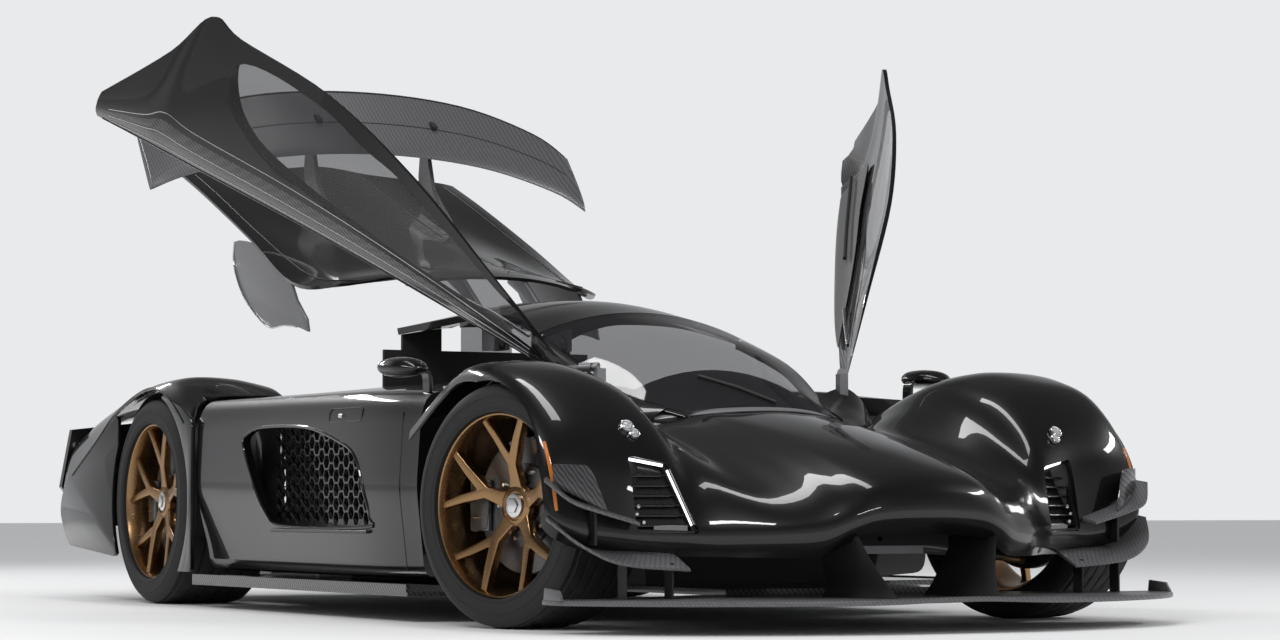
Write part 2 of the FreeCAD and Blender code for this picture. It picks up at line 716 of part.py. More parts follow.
QUARTER = stretched_lines((
    (DECK_HALF, ((-1062, 735), (-1180, 770), (-1320, 780), (-1700, 765), (-2100, 735), (-2330, 695))),
    (720, ((-1052, 735), (-1180, 790), (-1320, 802), (-1700, 780), (-2100, 740), (-2335, 690))),
    (860, ((-1050, 728), (-1180, 790), (-1320, 806), (-1700, 765), (-2080, 705), (-2320, 640))),
    (960, ((-985, 690), (-1160, 765), (-1330, 785), (-1680, 730), (-2000, 650), (-2290, 560))),
    (1008, ((-930, 600), (-1120, 720), (-1330, 765), (-1660, 690), (-1900, 580), (-2250, 420))),
))
# side plates ahead of and behind the rear wheel, seen from the side
FLANK = tuple((along(x), z) for x, z in ((-905, 120), (-905, 640), (-1010, 690), (-1200, 740), (-1200, 120)))
TAIL_SIDE = tuple((along(x), z) for x, z in (
    (-1650, 690), (-1900, 590), (-2240, 440), (-2300, 330), (-2200, 200), (-1650, 160)))


def rear_quarter():
    shell = shell_y([(y, list(line)) for y, line in QUARTER], PANEL_WALL)
    outer = QUARTER[-1][0]
    flank, tail = (prism_y(list(plate), outer - PANEL_WALL, outer) for plate in (FLANK, TAIL_SIDE))
    whole = fuse([shell, flank, tail])
    return largest(whole.cut(rear_well()).cut(door_room()))


# flat floor, splitter and sills
TRAY_TOP = TUB_FLOOR - SEAT
TRAY_T = 18.0
TRAY_BOTTOM = TRAY_TOP - TRAY_T
BLADE_T = 14.0
DIFFUSER_START_X = along(-1720.0)
DIFFUSER_RISE = 128.0
DIFFUSER_HALF = 600.0
STRAKE_T = 10.0
TAIL_PANEL_X = along(-2330.0)
TAIL_PANEL_T = 30.0


def wells():
    return (front_well(), mirrored(front_well()), rear_well(), mirrored(rear_well()))


def undertray():
    plan = [(1700, 400), (along(1000), 420), (along(900), 900), (along(-900), 900), (along(-1000), 560),
            (DIFFUSER_START_X + SEAT, 560)]
    floor = prism_z(plan + [(x, -y) for x, y in plan[::-1]], TRAY_BOTTOM, TRAY_TOP)
    for well in wells():
        floor = floor.cut(well)
    return floor


def splitter():
    plan = [(2345, 0), (2330, 300), (2250, 560), (2130, 800), (1990, 960), (1880, 1030), (1790, 1030),
            (1800, 900), (1560, 420)]
    top = TRAY_BOTTOM - SEAT
    plate = prism_z(plan + [(x, -y) for x, y in plan[:0:-1]], top - BLADE_T, top)
    ends = []
    for side in (1, -1):
        y0, y1 = sorted((side * 990, side * 1030))
        ends.append(box(1790, y0, top - 2, 1900, y1, top + 34))
    return fuse([plate] + ends).cut(front_well()).cut(mirrored(front_well()))


def bumper_beam():
    # beam across the subframe's front with posts up to the nose
    beam = box(1580 + SEAT, -360, 230, TOW_FRONT_X, 360, 300)
    posts = [box(1620, side * 150 - 12, 290, 1660, side * 150 + 12, 700) for side in (1, -1)]
    whole = fuse([beam] + posts).cut(above_clam(PANEL_WALL + SEAT))
    tow_hole = V(TOW_FRONT_X, TOW_FRONT_Y, TOW_FRONT_Z)
    return whole.cut(Part.makeCylinder(TOW_R, TOW_FRONT_DEPTH, tow_hole, V(-1, 0, 0)))


def nose_uprights():
    # fins that lean outward from a flared foot on the splitter to the nose
    # columns: height, rear x, front x, distance from the centre plane, half thickness
    fin = ((TRAY_BOTTOM, 1880, 2240, 170, 22), (122, 1890, 2205, 178, 8), (190, 1910, 2160, 204, 7),
           (330, 1930, 2110, 250, 7))
    wires = []
    for z, rear, front, y, half in fin:
        middle = front - 60
        outline = ((rear, y - half), (middle, y - half), (front, y - 2), (front, y + 2), (middle, y + half),
                   (rear, y + half))
        wires.append(polygon([V(a, b, z) for a, b in outline]))
    post = Part.makeLoft(wires, True, True).cut(shell_y(clam_lines(), PANEL_WALL)).cut(above_clam(PANEL_WALL))
    left = largest(post)
    return Part.makeCompound([left, mirrored(left)])


# blades that wrap round the fender's lower front corner; rows of an inner and an outer point (x, y, z)
UPPER_BLADE = (((1700, 955, 432), (1792, 1024, 418)), ((1725, 925, 378), (1850, 972, 361)),
               ((1745, 868, 350), (1868, 896, 333)), ((1760, 762, 318), (1872, 770, 299)))
LOWER_BLADE = (((1700, 955, 330), (1790, 1018, 313)), ((1715, 925, 268), (1880, 955, 242)),
               ((1740, 850, 236), (1912, 850, 192)), ((1800, 650, 230), (1935, 648, 174)))
DIVE_T = 8.0
# upright fence on the upper blade: its two ends in plan, and its outline as (share of the way, z)
FENCE_ENDS = ((1778, 990), (1856, 862))
FENCE = ((0.0, 400), (1.0, 330), (0.62, 457), (0.0, 459))


def blade(rows, low=0.0):
    # plate through the rows, or with a low the room below it
    wires = []
    for inner, outer in rows:
        under = [V(p[0], p[1], low if low else p[2] - DIVE_T) for p in (outer, inner)]
        wires.append(polygon([V(*inner), V(*outer)] + under))
    return Part.makeLoft(wires, True, True)


def dive_plane():
    upper = blade(UPPER_BLADE)
    lower = blade(LOWER_BLADE)
    (xa, ya), (xb, yb) = FENCE_ENDS
    corners = [V(xa + (xb - xa) * share, ya + (yb - ya) * share, z) for share, z in FENCE]
    normal = V(ya - yb, xb - xa, 0).normalize()
    fence = Part.Face(polygon(corners)).extrude(normal * -6)
    stays = [box(x - 22, y - 3, TRAY_BOTTOM, x + 22, y + 3, 300) for x, y in ((1890, 690), (1880, 830))]
    room = blade(LOWER_BLADE, TRAY_BOTTOM)
    link = box(1790, 880, 225, 1830, 888, 360).common(blade(UPPER_BLADE, TRAY_BOTTOM)).cut(room)
    whole = fuse([upper, lower, fence, link] + [stay.common(room) for stay in stays])
    return largest(whole.cut(front_well()).cut(shell_y(clam_lines(), PANEL_WALL)).cut(lamp_block(0, 5, -200)))


def sill():
    front, rear = along(860), along(-880)
    plan = [(front + 20, 860), (front, 1000), (along(-700), 1005), (rear, 1010), (rear - 20, 880)]
    top = TRAY_BOTTOM - SEAT
    plate = prism_z(plan, top - BLADE_T, top)
    lip = prism_z([(front, 992), (rear, 998), (rear, 1010), (front, 1004)], top - 2, top + 22)
    return fuse([plate, lip]).cut(front_well()).cut(rear_well())


def diffuser():
    x0 = DIFFUSER_START_X
    x1 = TAIL_PANEL_X
    z1 = TRAY_TOP + DIFFUSER_RISE
    line = [(x0, TRAY_TOP), (x1, z1), (x1, z1 - 12), (x0, TRAY_BOTTOM)]
    floor = loft_y([(-DIFFUSER_HALF, line), (DIFFUSER_HALF, line)])
    strakes = []
    outer = DIFFUSER_HALF - STRAKE_T / 2
    outline = [(x0 - 20, TRAY_TOP - 8), (x1, z1 - 8), (x1 - 8, 110), (x0 - 180, 84)]
    for y in (outer * share for share in (-1.0, -0.6, -0.22, 0.22, 0.6, 1.0)):
        strakes.append(prism_y(outline, y - STRAKE_T / 2, y + STRAKE_T / 2))
    return fuse([floor] + strakes)


def tail_panel():
    low = TRAY_TOP + DIFFUSER_RISE + SEAT
    half = [(DECK_HALF, 680), (960, 640), (1000, 420), (900, 300), (DIFFUSER_HALF + 40, low)]
    panel = prism_x(half + [(-y, z) for y, z in half[::-1]], TAIL_PANEL_X, TAIL_PANEL_X + TAIL_PANEL_T)
    mouth = [(480, 620), (560, 420), (480, 330)]
    window = prism_x(mouth + [(-y, z) for y, z in mouth[::-1]], TAIL_PANEL_X - 70, TAIL_PANEL_X + 130)
    panel = panel.cut(window).cut(rear_quarter()).cut(mirrored(rear_quarter()))
    start = V(TAIL_PANEL_X - 5, TOW_REAR_Y, TOW_REAR_Z)
    hole = Part.makeCylinder(TOW_R, TAIL_PANEL_T + 10, start, V(1, 0, 0))
    return largest(panel).cut(hole)


def seat(x, y, width):
    # bucket with raised sides: base, back and wings
    half = width / 2
    base = prism_y([(x + 260, 205), (x + 250, 250), (x - 140, 215), (x - 330, 660), (x - 400, 640),
                    (x - 200, CABIN_FLOOR + SEAT)],
                   y - half + 30, y + half - 30)
    wings = []
    for side in (-1, 1):
        y0 = y + side * (half - 15) - 15
        wings.append(prism_y([(x + 240, 195), (x + 220, 300), (x - 60, 320), (x - 250, 620), (x - 400, 640),
                              (x - 200, CABIN_FLOOR + SEAT)],
                             y0, y0 + 30))
    return fuse([base] + wings)


def export_pair(name, shape):
    export(name + "_left", shape)
    export(name + "_right", mirrored(shape))


MIRROR_X = along(815.0)
MIRROR_LENGTH = 140.0


def mirror():
    # pod on a short stalk behind the front fender
    # columns: share of the length, inner y, outer y, low z, high z
    sections = ((0.0, 940, 972, 752, 764), (0.35, 905, 998, 740, 782), (1.0, 884, 1012, 735, 792))
    stations = []
    for share, y0, y1, z0, z1 in sections:
        middle = (z0 + z1) / 2
        line = ((y0, middle), (y0 + 14, z0), (y1 - 14, z0), (y1, middle), (y1 - 14, z1), (y0 + 14, z1))
        stations.append((MIRROR_X - MIRROR_LENGTH * share, list(line)))
    stalk = fuse([box(MIRROR_X - 120, 862, 600, MIRROR_X - 70, 880, 760),
                  box(MIRROR_X - 120, 862, 742, MIRROR_X - 70, 930, 760)])
    return fuse([loft_x(stations), stalk]).cut(loft_x([(x, list(line)) for x, line in POD]))


# outline of the steering wheel as shares of its radius
WHEEL_SHAPE = ((-0.55, 0.72), (0.55, 0.72), (0.92, 0.5), (1.0, 0.1), (0.95, -0.4), (0.6, -0.78),
               (-0.6, -0.78), (-0.95, -0.4), (-1.0, 0.1), (-0.92, 0.5))


def dash():
    return box(along(820), -600, 500, along(960), 600, 590).common(tub_loft(TUB_IN, SEAT))


def steering_wheel():
    # flat-topped rim with a cross bar on its column
    x, z = along(700), 545
    rim_out, rim_in = ([(r * a, r * b) for a, b in WHEEL_SHAPE] for r in (165.0, 137.0))
    loops = [polygon([V(x, y, z + up) for y, up in points]) for points in (rim_out, rim_in)]
    ring = Part.makeFace(loops, "Part::FaceMakerCheese").extrude(V(26, 0, 0))
    bar = box(x, -150, z - 16, x + 22, 150, z + 16)
    boss = box(x - 4, -45, z - 32, x + 26, 45, z + 32)
    turned = rotated(fuse([ring, bar, boss]), (x, 0, z), (0, 1, 0), -20)
    reach = box(x, -60, 400, along(820) - SEAT, 60, 700)
    column = tube((x + 10, 0, z), (x + 160, 0, z - 25), 22).common(reach)
    return fuse([turned, column])


def wiper():
    # blade lying on the screen
    lift = 7.8
    ends = ((1222, 60), (1140, -30), (1060, -120))
    points = [(x, y, crown_height(WINDSCREEN, x, y) + lift) for x, y in ends]
    return fuse([tube(points[0], points[1], 6), tube(points[1], points[2], 6)])


def exhaust():
    pipes = [tube((ENGINE_REAR_X + 10, side * 200, 555), (TAIL_PANEL_X + 40, side * 120, 585), 42)
             for side in (1, -1)]
    ends = box(TAIL_PANEL_X - 70, -400, 400, ENGINE_REAR_X - SEAT, 400, 700)
    return Part.makeCompound([pipe.common(ends) for pipe in pipes])


ENGINE_REAR_X = along(-1250.0)
ENGINE_HALF = 260.0
FRAME_HALF = 352.0
RUNNER_COUNT = 4
# one cylinder head across: (y, z)
HEAD = ((60, 425), (165, 320), (256, 440), (232, 530), (150, 545))
# ball joints of the wishbones: radius, height from the axle and the rear ones' place
JOINT_R = 15.0
BALL_LEVEL = UPRIGHT_H + SEAT + JOINT_R
REAR_BALL_Y = WHEEL_OUTER_Y - 10 - REAR_HUB_DEPTH - DISC_BACK - 44


def arms(axle_x, axle_z, frame_half, ball_y, spread, level):
    # upper and lower wishbones to the ball joints
    legs = []
    for side in (1, -1):
        for z in (-level, level):
            for back in (-spread, spread):
                legs.append(tube((axle_x + back, side * (frame_half - 8), axle_z + z * 0.7),
                                 (axle_x, side * ball_y, axle_z + z), 11))
            legs.append(Part.makeSphere(JOINT_R, V(axle_x, side * ball_y, axle_z + z)))
    return legs


def front_subframe():
    frame = box(TUB_FRONT_X + SEAT, -FRAME_HALF, 205, 1580, FRAME_HALF, 490)
    frame = frame.cut(box(TUB_FRONT_X + 30, -FRAME_HALF + 30, 200, 1550, FRAME_HALF - 30, 500))
    frame = frame.cut(above_clam(PANEL_WALL + SEAT))
    return fuse([frame] + arms(FRONT_AXLE_X, FRONT_TYRE_R, FRAME_HALF, KINGPIN_Y, 150, BALL_LEVEL))


def rear_subframe():
    half = ENGINE_HALF + SEAT
    x0, x1 = REAR_AXLE_X - 195, REAR_AXLE_X + 195
    rails = [box(x0, y0, 150, x1, y0 + 34, 480) for y0 in (half, -half - 34)]
    cross = [box(x, -half - 20, 130, x + 40, half + 20, 176) for x in (x0, x1 - 40)]
    return fuse(rails + cross + arms(REAR_AXLE_X, REAR_TYRE_R, half + 34, REAR_BALL_Y, 150, BALL_LEVEL))


def engine():
    # crankcase on two mounts, canted heads, a plenum along the valley and its runners
    x0, x1 = ENGINE_REAR_X, TUB_REAR_X - 15 - SEAT
    case = box(x0, -150, 180, x1, 150, 430)
    mount = box(x0 + 10, -ENGINE_HALF, 300, x0 + 70, ENGINE_HALF, 340)
    heads = []
    runners = []
    for side in (1, -1):
        heads.append(prism_x([(side * y, z) for y, z in HEAD], x0, x1 - 30))
        for i in range(RUNNER_COUNT):
            x = x0 + 70 + (x1 - x0 - 160) * i / (RUNNER_COUNT - 1)
            runners.append(tube((x, side * 20, 570), (x, side * 165, 500), 19))
    plenum = Part.makeCylinder(66, x1 - x0 - 60, V(x0 + 30, 0, 578), V(1, 0, 0))
    return fuse([case, mount, plenum] + heads + runners)


def gearbox():
    # tapers from the bell housing to the tail
    x0 = REAR_AXLE_X - 625
    return loft_x([(ENGINE_REAR_X - SEAT, [(-160, 200), (160, 200), (160, 460), (-160, 460)]),
                   (ENGINE_REAR_X - 160, [(-120, 205), (120, 205), (120, 430), (-120, 430)]),
                   (x0, [(-80, 230), (80, 230), (80, 390), (-80, 390)])])


def seat_at(x):
    return seat(x, 0, 460)


export("tub", tub())
export("cover_hinge_brackets", cover_hinges())
export("front_clam", front_clam())
export("windscreen", windscreen())
export("roof", roof())
export("splitter", splitter())
export("undertray", undertray())
export("diffuser", diffuser())
export("tail_panel", tail_panel())
export("tail_lamp", box(TAIL_PANEL_X - 14, -560, 650, TAIL_PANEL_X - SEAT, 560, 668))
export_pair("side_pod", side_pod())
export_pair("rear_quarter", rear_quarter())
export_pair("headlamp", headlamp())
for name, maker in (("dive_planes", dive_plane), ("sills", sill), ("side_meshes", side_mesh),
                    ("mirrors", mirror), ("door_hinges", door_hinge_pin)):
    left = maker()
    export(name, Part.makeCompound([left, mirrored(left)]))
export("nose_uprights", nose_uprights())
export("bumper_beam", bumper_beam())
export("engine_block", engine())
export("gearbox", gearbox())
export("exhaust", exhaust())
export("seat_front", seat_at(along(330)))
export("seat_rear", seat_at(along(-168)))
export("dash", dash())
export("steering_wheel", steering_wheel())
export("wiper", wiper())
export("front_subframe", front_subframe())
export("rear_subframe", rear_subframe())

lip_y = WHEEL_OUTER_Y - 10
corners = (
    ("front", FRONT_AXLE_X, FRONT_TYRE_R, FRONT_TYRE_W, FRONT_RIM_R, FRONT_HUB_DEPTH, STEER_REST_DEG,
     KINGPIN_Y),
    ("rear", REAR_AXLE_X, REAR_TYRE_R, REAR_TYRE_W, REAR_RIM_R, REAR_HUB_DEPTH, 0.0, REAR_BALL_Y),
)
for end, axle_x, tyre_r, tyre_w, rim_r, hub_depth, steer, ear_y in corners:
    wheel_parts = {
        "rim": rim(rim_r, tyre_w - 20, lip_y, hub_depth),
        "tyre": tyre(tyre_r, tyre_w, rim_r, WHEEL_OUTER_Y),
        "knuckle": knuckle(lip_y, hub_depth, ear_y),
    }
    for piece, shape in wheel_parts.items():
        for name, side in (("left", 1), ("right", -1)):
            export(piece + "_" + end + "_" + name, placed(shape, axle_x, tyre_r, steer, side))

export("door_left", door_open(door_shell()))
export("door_right", mirrored(door_open(door_shell())))
export("door_glass_left", door_open(door_glass()))
export("door_glass_right", mirrored(door_open(door_glass())))
export("rear_cover", cover_open(cover_shell()))
export("wing", cover_open(wing()))
export("wing_struts", cover_open(Part.makeCompound(wing_struts())))
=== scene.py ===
import bmesh
import bpy
import math
from mathutils import Matrix, Vector
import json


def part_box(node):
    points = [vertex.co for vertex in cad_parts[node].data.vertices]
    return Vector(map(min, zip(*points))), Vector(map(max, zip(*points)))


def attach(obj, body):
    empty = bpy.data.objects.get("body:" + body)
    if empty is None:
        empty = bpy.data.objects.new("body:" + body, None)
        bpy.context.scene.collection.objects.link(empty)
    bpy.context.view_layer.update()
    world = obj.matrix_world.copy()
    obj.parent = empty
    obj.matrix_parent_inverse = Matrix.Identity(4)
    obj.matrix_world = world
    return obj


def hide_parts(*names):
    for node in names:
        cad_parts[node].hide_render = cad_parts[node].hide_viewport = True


# Looks of a low two-door mid-engined hypercar, doors and rear cover raised. Metres, same frame as the
# solids: +X forward, +Y to the car's left, +Z up. Tables of body sections are in millimetres.

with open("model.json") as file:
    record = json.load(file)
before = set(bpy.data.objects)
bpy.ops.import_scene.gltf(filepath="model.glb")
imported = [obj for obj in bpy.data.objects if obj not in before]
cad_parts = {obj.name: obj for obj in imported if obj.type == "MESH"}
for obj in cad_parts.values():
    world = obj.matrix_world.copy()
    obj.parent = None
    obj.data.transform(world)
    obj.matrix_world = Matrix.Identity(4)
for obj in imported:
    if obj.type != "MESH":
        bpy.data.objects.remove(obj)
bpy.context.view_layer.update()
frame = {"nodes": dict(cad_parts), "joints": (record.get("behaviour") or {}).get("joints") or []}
nodes = frame["nodes"]
joints = {joint["name"]: joint for joint in frame["joints"]}
MM = 0.001

# camera: place, heading and rise of the view, lens on a 36 mm wide sensor
CAMERA_AT = (9.522, -4.994, 0.34)
CAMERA_TURN = (math.radians(93.36), 0.0, math.radians(61.1))
CAMERA_LENS = 90.0

# wheels, shared with the joints of the frame
FRONT_AXLE = Vector(joints["roll_front_left"]["pos_m"])
REAR_AXLE = Vector(joints["roll_rear_left"]["pos_m"])
KINGPIN_Y = FRONT_AXLE.y * 1000
STEER_REST = math.radians(joints["steer_left"]["range_deg"][1])
FRONT_TYRE_R = FRONT_AXLE.z * 1000
REAR_TYRE_R = REAR_AXLE.z * 1000
WHEEL_OUTER_Y = 1000.0
TREAD_EDGE = 28.0
WELL_CLEARANCE = 6.0
# walls of panels and glass
PANEL_WALL = 14.0
SKIN_WALL = 14.0
GLASS_WALL = 6.0
ROOF_WALL = 24.0
COVER_WALL = 16.0
PANE_WALL = 14.0
# the rear cover's arms, off the middle
ARM_Y = 120
# angle between faces from which an edge stays sharp, in degrees, and half of the floor's side
SHARP = 32.0
FLOOR_HALF = 60000.0


# helpers for meshes

def smooth_line(points, steps, closed=False):
    # Catmull-Rom curve through the points, with that many steps to a span
    count = len(points)
    line = []
    for i in range(count if closed else count - 1):
        around = [(i + k) % count if closed else min(max(i + k, 0), count - 1) for k in (-1, 0, 1, 2)]
        for step in range(steps):
            t = step / steps
            weights = (-0.5 * t + t * t - 0.5 * t ** 3, 1 - 2.5 * t * t + 1.5 * t ** 3,
                       0.5 * t + 2 * t * t - 1.5 * t ** 3, -0.5 * t * t + 0.5 * t ** 3)
            line.append(tuple(sum(w * points[k][axis] for w, k in zip(weights, around))
                              for axis in range(len(points[0]))))
    return line if closed else line + [tuple(points[-1])]


def smooth_grid(rows, steps_down, steps_along):
    fine = [smooth_line(row, steps_along) for row in rows]
    return list(zip(*(smooth_line(column, steps_down) for column in zip(*fine))))


def circle(steps):
    # cosine and sine at even steps round a full turn
    return [(math.cos(2 * math.pi * k / steps), math.sin(2 * math.pi * k / steps)) for k in range(steps)]


def shifted(points, way, reach=1.0):
    return [tuple(Vector(p) + Vector(way) * reach) for p in points]


def new_piece(name, verts, faces, material):
    mesh = bpy.data.meshes.new(name)
    mesh.from_pydata([tuple(v * MM for v in p) for p in verts], [], faces)
    mesh.validate()
    piece = bpy.data.objects.new(name, mesh)
    bpy.context.scene.collection.objects.link(piece)
    if material:
        mesh.materials.append(material)
    return piece


def grid_faces(down, along, wrap_down, wrap_along):
    faces = []
    for i in range(down if wrap_down else down - 1):
        here, below = i * along, (i + 1) % down * along
        for j in range(along if wrap_along else along - 1):
            k = (j + 1) % along
            faces.append((here + j, here + k, below + k, below + j))
    return faces


def lofted(name, rows, material=None, wrap_down=False, wrap_along=True, caps=True):
    # mesh over rows of points, closed round each row and capped at both ends unless told otherwise
    along = len(rows[0])
    faces = grid_faces(len(rows), along, wrap_down, wrap_along)
    if caps:
        faces += [tuple(range(along)), tuple((len(rows) - 1) * along + k for k in range(along))]
    return new_piece(name, [p for row in rows for p in row], faces, material)


def grid_piece(name, rows, material, inside):
    # sheet over a grid of points, its faces turned away from the inside point
    piece = lofted(name, rows, material, wrap_along=False, caps=False)
    centre = Vector(inside) * MM
    if sum((f.center - centre).dot(f.normal) * f.area for f in piece.data.polygons) < 0:
        piece.data.flip_normals()
    return piece


def reworked(piece, change):
    work = bmesh.new()
    work.from_mesh(piece.data)
    change(work)
    work.to_mesh(piece.data)
    work.free()
    return piece


def turned_out(work):
    bmesh.ops.recalc_face_normals(work, faces=work.faces)


def merged(work):
    bmesh.ops.remove_doubles(work, verts=work.verts, dist=1e-5)
    turned_out(work)


def biggest_shell(work):
    # drops all but the biggest of the separate shells that a cut leaves
    left = set(work.faces)
    groups = []
    while left:
        group = [left.pop()]
        for face in group:
            for side in face.edges:
                near = [other for other in side.link_faces if other in left]
                left.difference_update(near)
                group.extend(near)
        groups.append(group)
    groups.sort(key=lambda group: -sum(face.calc_area() for face in group))
    bmesh.ops.delete(work, geom=[face for group in groups[1:] for face in group], context="FACES")


def tidy_mesh(piece, angle=SHARP):
    reworked(piece, merged)
    piece.data.shade_smooth()
    piece.data.set_sharp_from_angle(angle=math.radians(angle))
    return piece


def with_modifier(piece, kind, **settings):
    modifier = piece.modifiers.new(kind.lower(), kind)
    for key, value in settings.items():
        setattr(modifier, key, value)
    return piece


def baked(piece):
    # applies the modifiers
    graph = bpy.context.evaluated_depsgraph_get()
    mesh = bpy.data.meshes.new_from_object(piece.evaluated_get(graph), depsgraph=graph)
    piece.modifiers.clear()
    piece.data = mesh
    return piece


def thick(piece, wall, offset=-1.0):
    return baked(with_modifier(piece, "SOLIDIFY", thickness=wall * MM, offset=offset, use_even_offset=True,
                               thickness_clamp=1.0))


def cut(piece, cutters, keep="DIFFERENCE"):
    for cutter in cutters:
        baked(with_modifier(piece, "BOOLEAN", operation=keep, solver="EXACT", object=cutter))
        bpy.data.objects.remove(cutter)
    return piece


def rounded(piece, width, segments=2, angle=SHARP):
    return baked(with_modifier(piece, "BEVEL", width=width * MM, segments=segments, limit_method="ANGLE",
                               angle_limit=math.radians(angle), use_clamp_overlap=True))


def prism(name, outline, axis, start, end, material=None):
    # closed outline in the plane across the axis, drawn out along it
    count = len(outline)
    order = {"x": (2, 0, 1), "y": (0, 2, 1), "z": (0, 1, 2)}[axis]
    verts = [tuple((a, b, reach)[k] for k in order) for reach in (start, end) for a, b in outline]
    faces = [tuple(range(count)), tuple(range(2 * count - 1, count - 1, -1))]
    faces += [(i, (i + 1) % count, (i + 1) % count + count, i + count) for i in range(count)]
    return reworked(new_piece(name, verts, faces, material), turned_out)


def box(x0, y0, z0, x1, y1, z1, name="box", material=None):
    return prism(name, [(x0, y0), (x1, y0), (x1, y1), (x0, y1)], "z", z0, z1, material)


def tunnel(rows, name="tunnel", material=None):
    # closed solid through rows of closed sections
    return reworked(lofted(name, rows, material), turned_out)


def revolved(name, profile, material, steps, closed=True, y0=0.0):
    # profile of (radius, y) turned about the Y axis through the origin
    rows = [[(r * s, y0 + y, r * c) for r, y in profile] for c, s in circle(steps)]
    return reworked(lofted(name, rows, material, True, closed, False), turned_out)


def drum(radius, x, z, y0, y1, steps=128, material=None):
    return prism("drum", [(x + radius * c, z + radius * s) for c, s in circle(steps)], "y", y0, y1, material)


def ball(radius, centre):
    steps, half = 72, math.pi / 36
    x, y, z = centre
    profile = [(radius * math.sin(half * i), radius * math.cos(half * i)) for i in range(1, 36)]
    verts = [(x + r * s, y + up, z + r * c) for c, s in circle(steps) for r, up in profile]
    along = len(profile)
    faces = grid_faces(steps, along, True, False)
    faces += [tuple(i * along + k for i in range(steps)) for k in (0, along - 1)]
    return reworked(new_piece("ball", verts, faces, None), turned_out)


def joined(name, pieces):
    # one mesh out of several, each material once
    work = bmesh.new()
    materials = []
    for piece in pieces:
        start = len(work.faces)
        mesh = piece.data
        work.from_mesh(mesh)
        for material in mesh.materials:
            if material not in materials:
                materials.append(material)
        if mesh.materials:
            for face in list(work.faces)[start:]:
                face.material_index = materials.index(mesh.materials[face.material_index])
    result = bpy.data.meshes.new(name)
    work.to_mesh(result)
    work.free()
    for material in materials:
        result.materials.append(material)
    whole = bpy.data.objects.new(name, result)
    bpy.context.scene.collection.objects.link(whole)
    for piece in pieces:
        bpy.data.objects.remove(piece)
    whole.name = name
    return whole


def mirrored(left):
    right = left.copy()
    right.data = left.data.copy()
    right.name = left.name.replace("_left", "_right")
    bpy.context.scene.collection.objects.link(right)
    right.data.transform(Matrix.Scale(-1, 4, (0, 1, 0)))
    right.data.flip_normals()
    return right


def moved(piece, matrix):
    piece.data.transform(matrix)
    return piece


def rod(points, radius, material=None, name="rod", sides=12, closed=False):
    # round bar along a line of points
    count = len(points)
    rows = []
    for i, point in enumerate(points):
        before = Vector(points[i - 1] if i or closed else points[0])
        after = Vector(points[(i + 1) % count] if i < count - 1 or closed else points[-1])
        way = (after - before).normalized()
        side = way.cross(Vector((0, 0, 1)))
        if side.length < 0.05:
            side = way.cross(Vector((0, 1, 0)))
        side.normalize()
        up = side.cross(way)
        rows.append([tuple(Vector(point) + side * radius * c + up * radius * s) for c, s in circle(sides)])
    return tidy_mesh(lofted(name, rows, material, closed, caps=not closed))


def ribbon(points, width, depth, across, material=None, name="ribbon"):
    # bar with a chamfered box section along a line; across is the width's direction
    rows = []
    for i, point in enumerate(points):
        way = (Vector(points[min(i + 1, len(points) - 1)]) - Vector(points[max(i - 1, 0)])).normalized()
        wide = Vector(across)
        wide = (wide - way * wide.dot(way)).normalized()
        deep = way.cross(wide)
        w, d = (width[i] if isinstance(width, list) else width) / 2, depth / 2
        c = 0.3 * min(w, d)
        corners = ((c - w, -d), (w - c, -d), (w, c - d), (w, d - c), (w - c, d), (c - w, d), (-w, d - c),
                   (-w, c - d))
        rows.append([tuple(Vector(point) + wide * a + deep * b) for a, b in corners])
    return tidy_mesh(lofted(name, rows, material))


def finished(piece, body, replaces=(), angle=SHARP):
    tidy_mesh(piece, angle)
    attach(piece, body)
    if replaces:
        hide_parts(*replaces)
    return piece


def pair(left, for_left=(), for_right=()):
    # a left piece of the fixed body and its mirror image, with the nodes that each one replaces
    right = mirrored(left)
    finished(left, "root", for_left)
    finished(right, "root", for_right)


# materials: each has its own detail from nodes

def set_inputs(tree, node, inputs):
    # inputs by name or number, each a plain value or another node's output
    for key, value in inputs.items():
        if isinstance(value, bpy.types.NodeSocket):
            tree.links.new(value, node.inputs[key])
        else:
            node.inputs[key].default_value = value


def made(tree, kind, output, inputs, **settings):
    # new node; gives the output asked for
    node = tree.nodes.new("ShaderNode" + kind)
    for key, value in settings.items():
        setattr(node, key, value)
    set_inputs(tree, node, inputs)
    return node.outputs[output]


def object_place(tree, scale=1.0):
    place = made(tree, "TexCoord", "Object", {})
    return made(tree, "Mapping", "Vector", {"Vector": place, "Scale": (scale, scale, scale)})


def noise(tree, scale, detail=3.0):
    return made(tree, "TexNoise", "Fac", {"Vector": object_place(tree), "Scale": scale, "Detail": detail})


def cells(tree, scale):
    return made(tree, "TexVoronoi", "Distance", {"Vector": object_place(tree), "Scale": scale})


def ramp(tree, value, low, high, end=1.0):
    return made(tree, "MapRange", "Result", {"Value": value, "From Max": end, "To Min": low, "To Max": high})


def twill(tree, pitch):
    # 2x2 twill out of two crossed bands, the way the cloth's tows pass over and under
    def sum_of(a, b, operation="ADD"):
        return made(tree, "Math", 0, {0: a, 1: b}, operation=operation)

    axes = made(tree, "SeparateXYZ", "X", {0: object_place(tree, 1.0 / pitch)}).node.outputs
    along, across = (sum_of(axes[axis], sum_of(axes["Z"], 0.5, "MULTIPLY")) for axis in "XY")
    cell = sum_of(sum_of(sum_of(along, 1.0, "FLOOR"), sum_of(across, 1.0, "FLOOR")), 0.25, "MULTIPLY")
    return sum_of(sum_of(cell, 1.0, "FRACT"), 0.4, "GREATER_THAN")


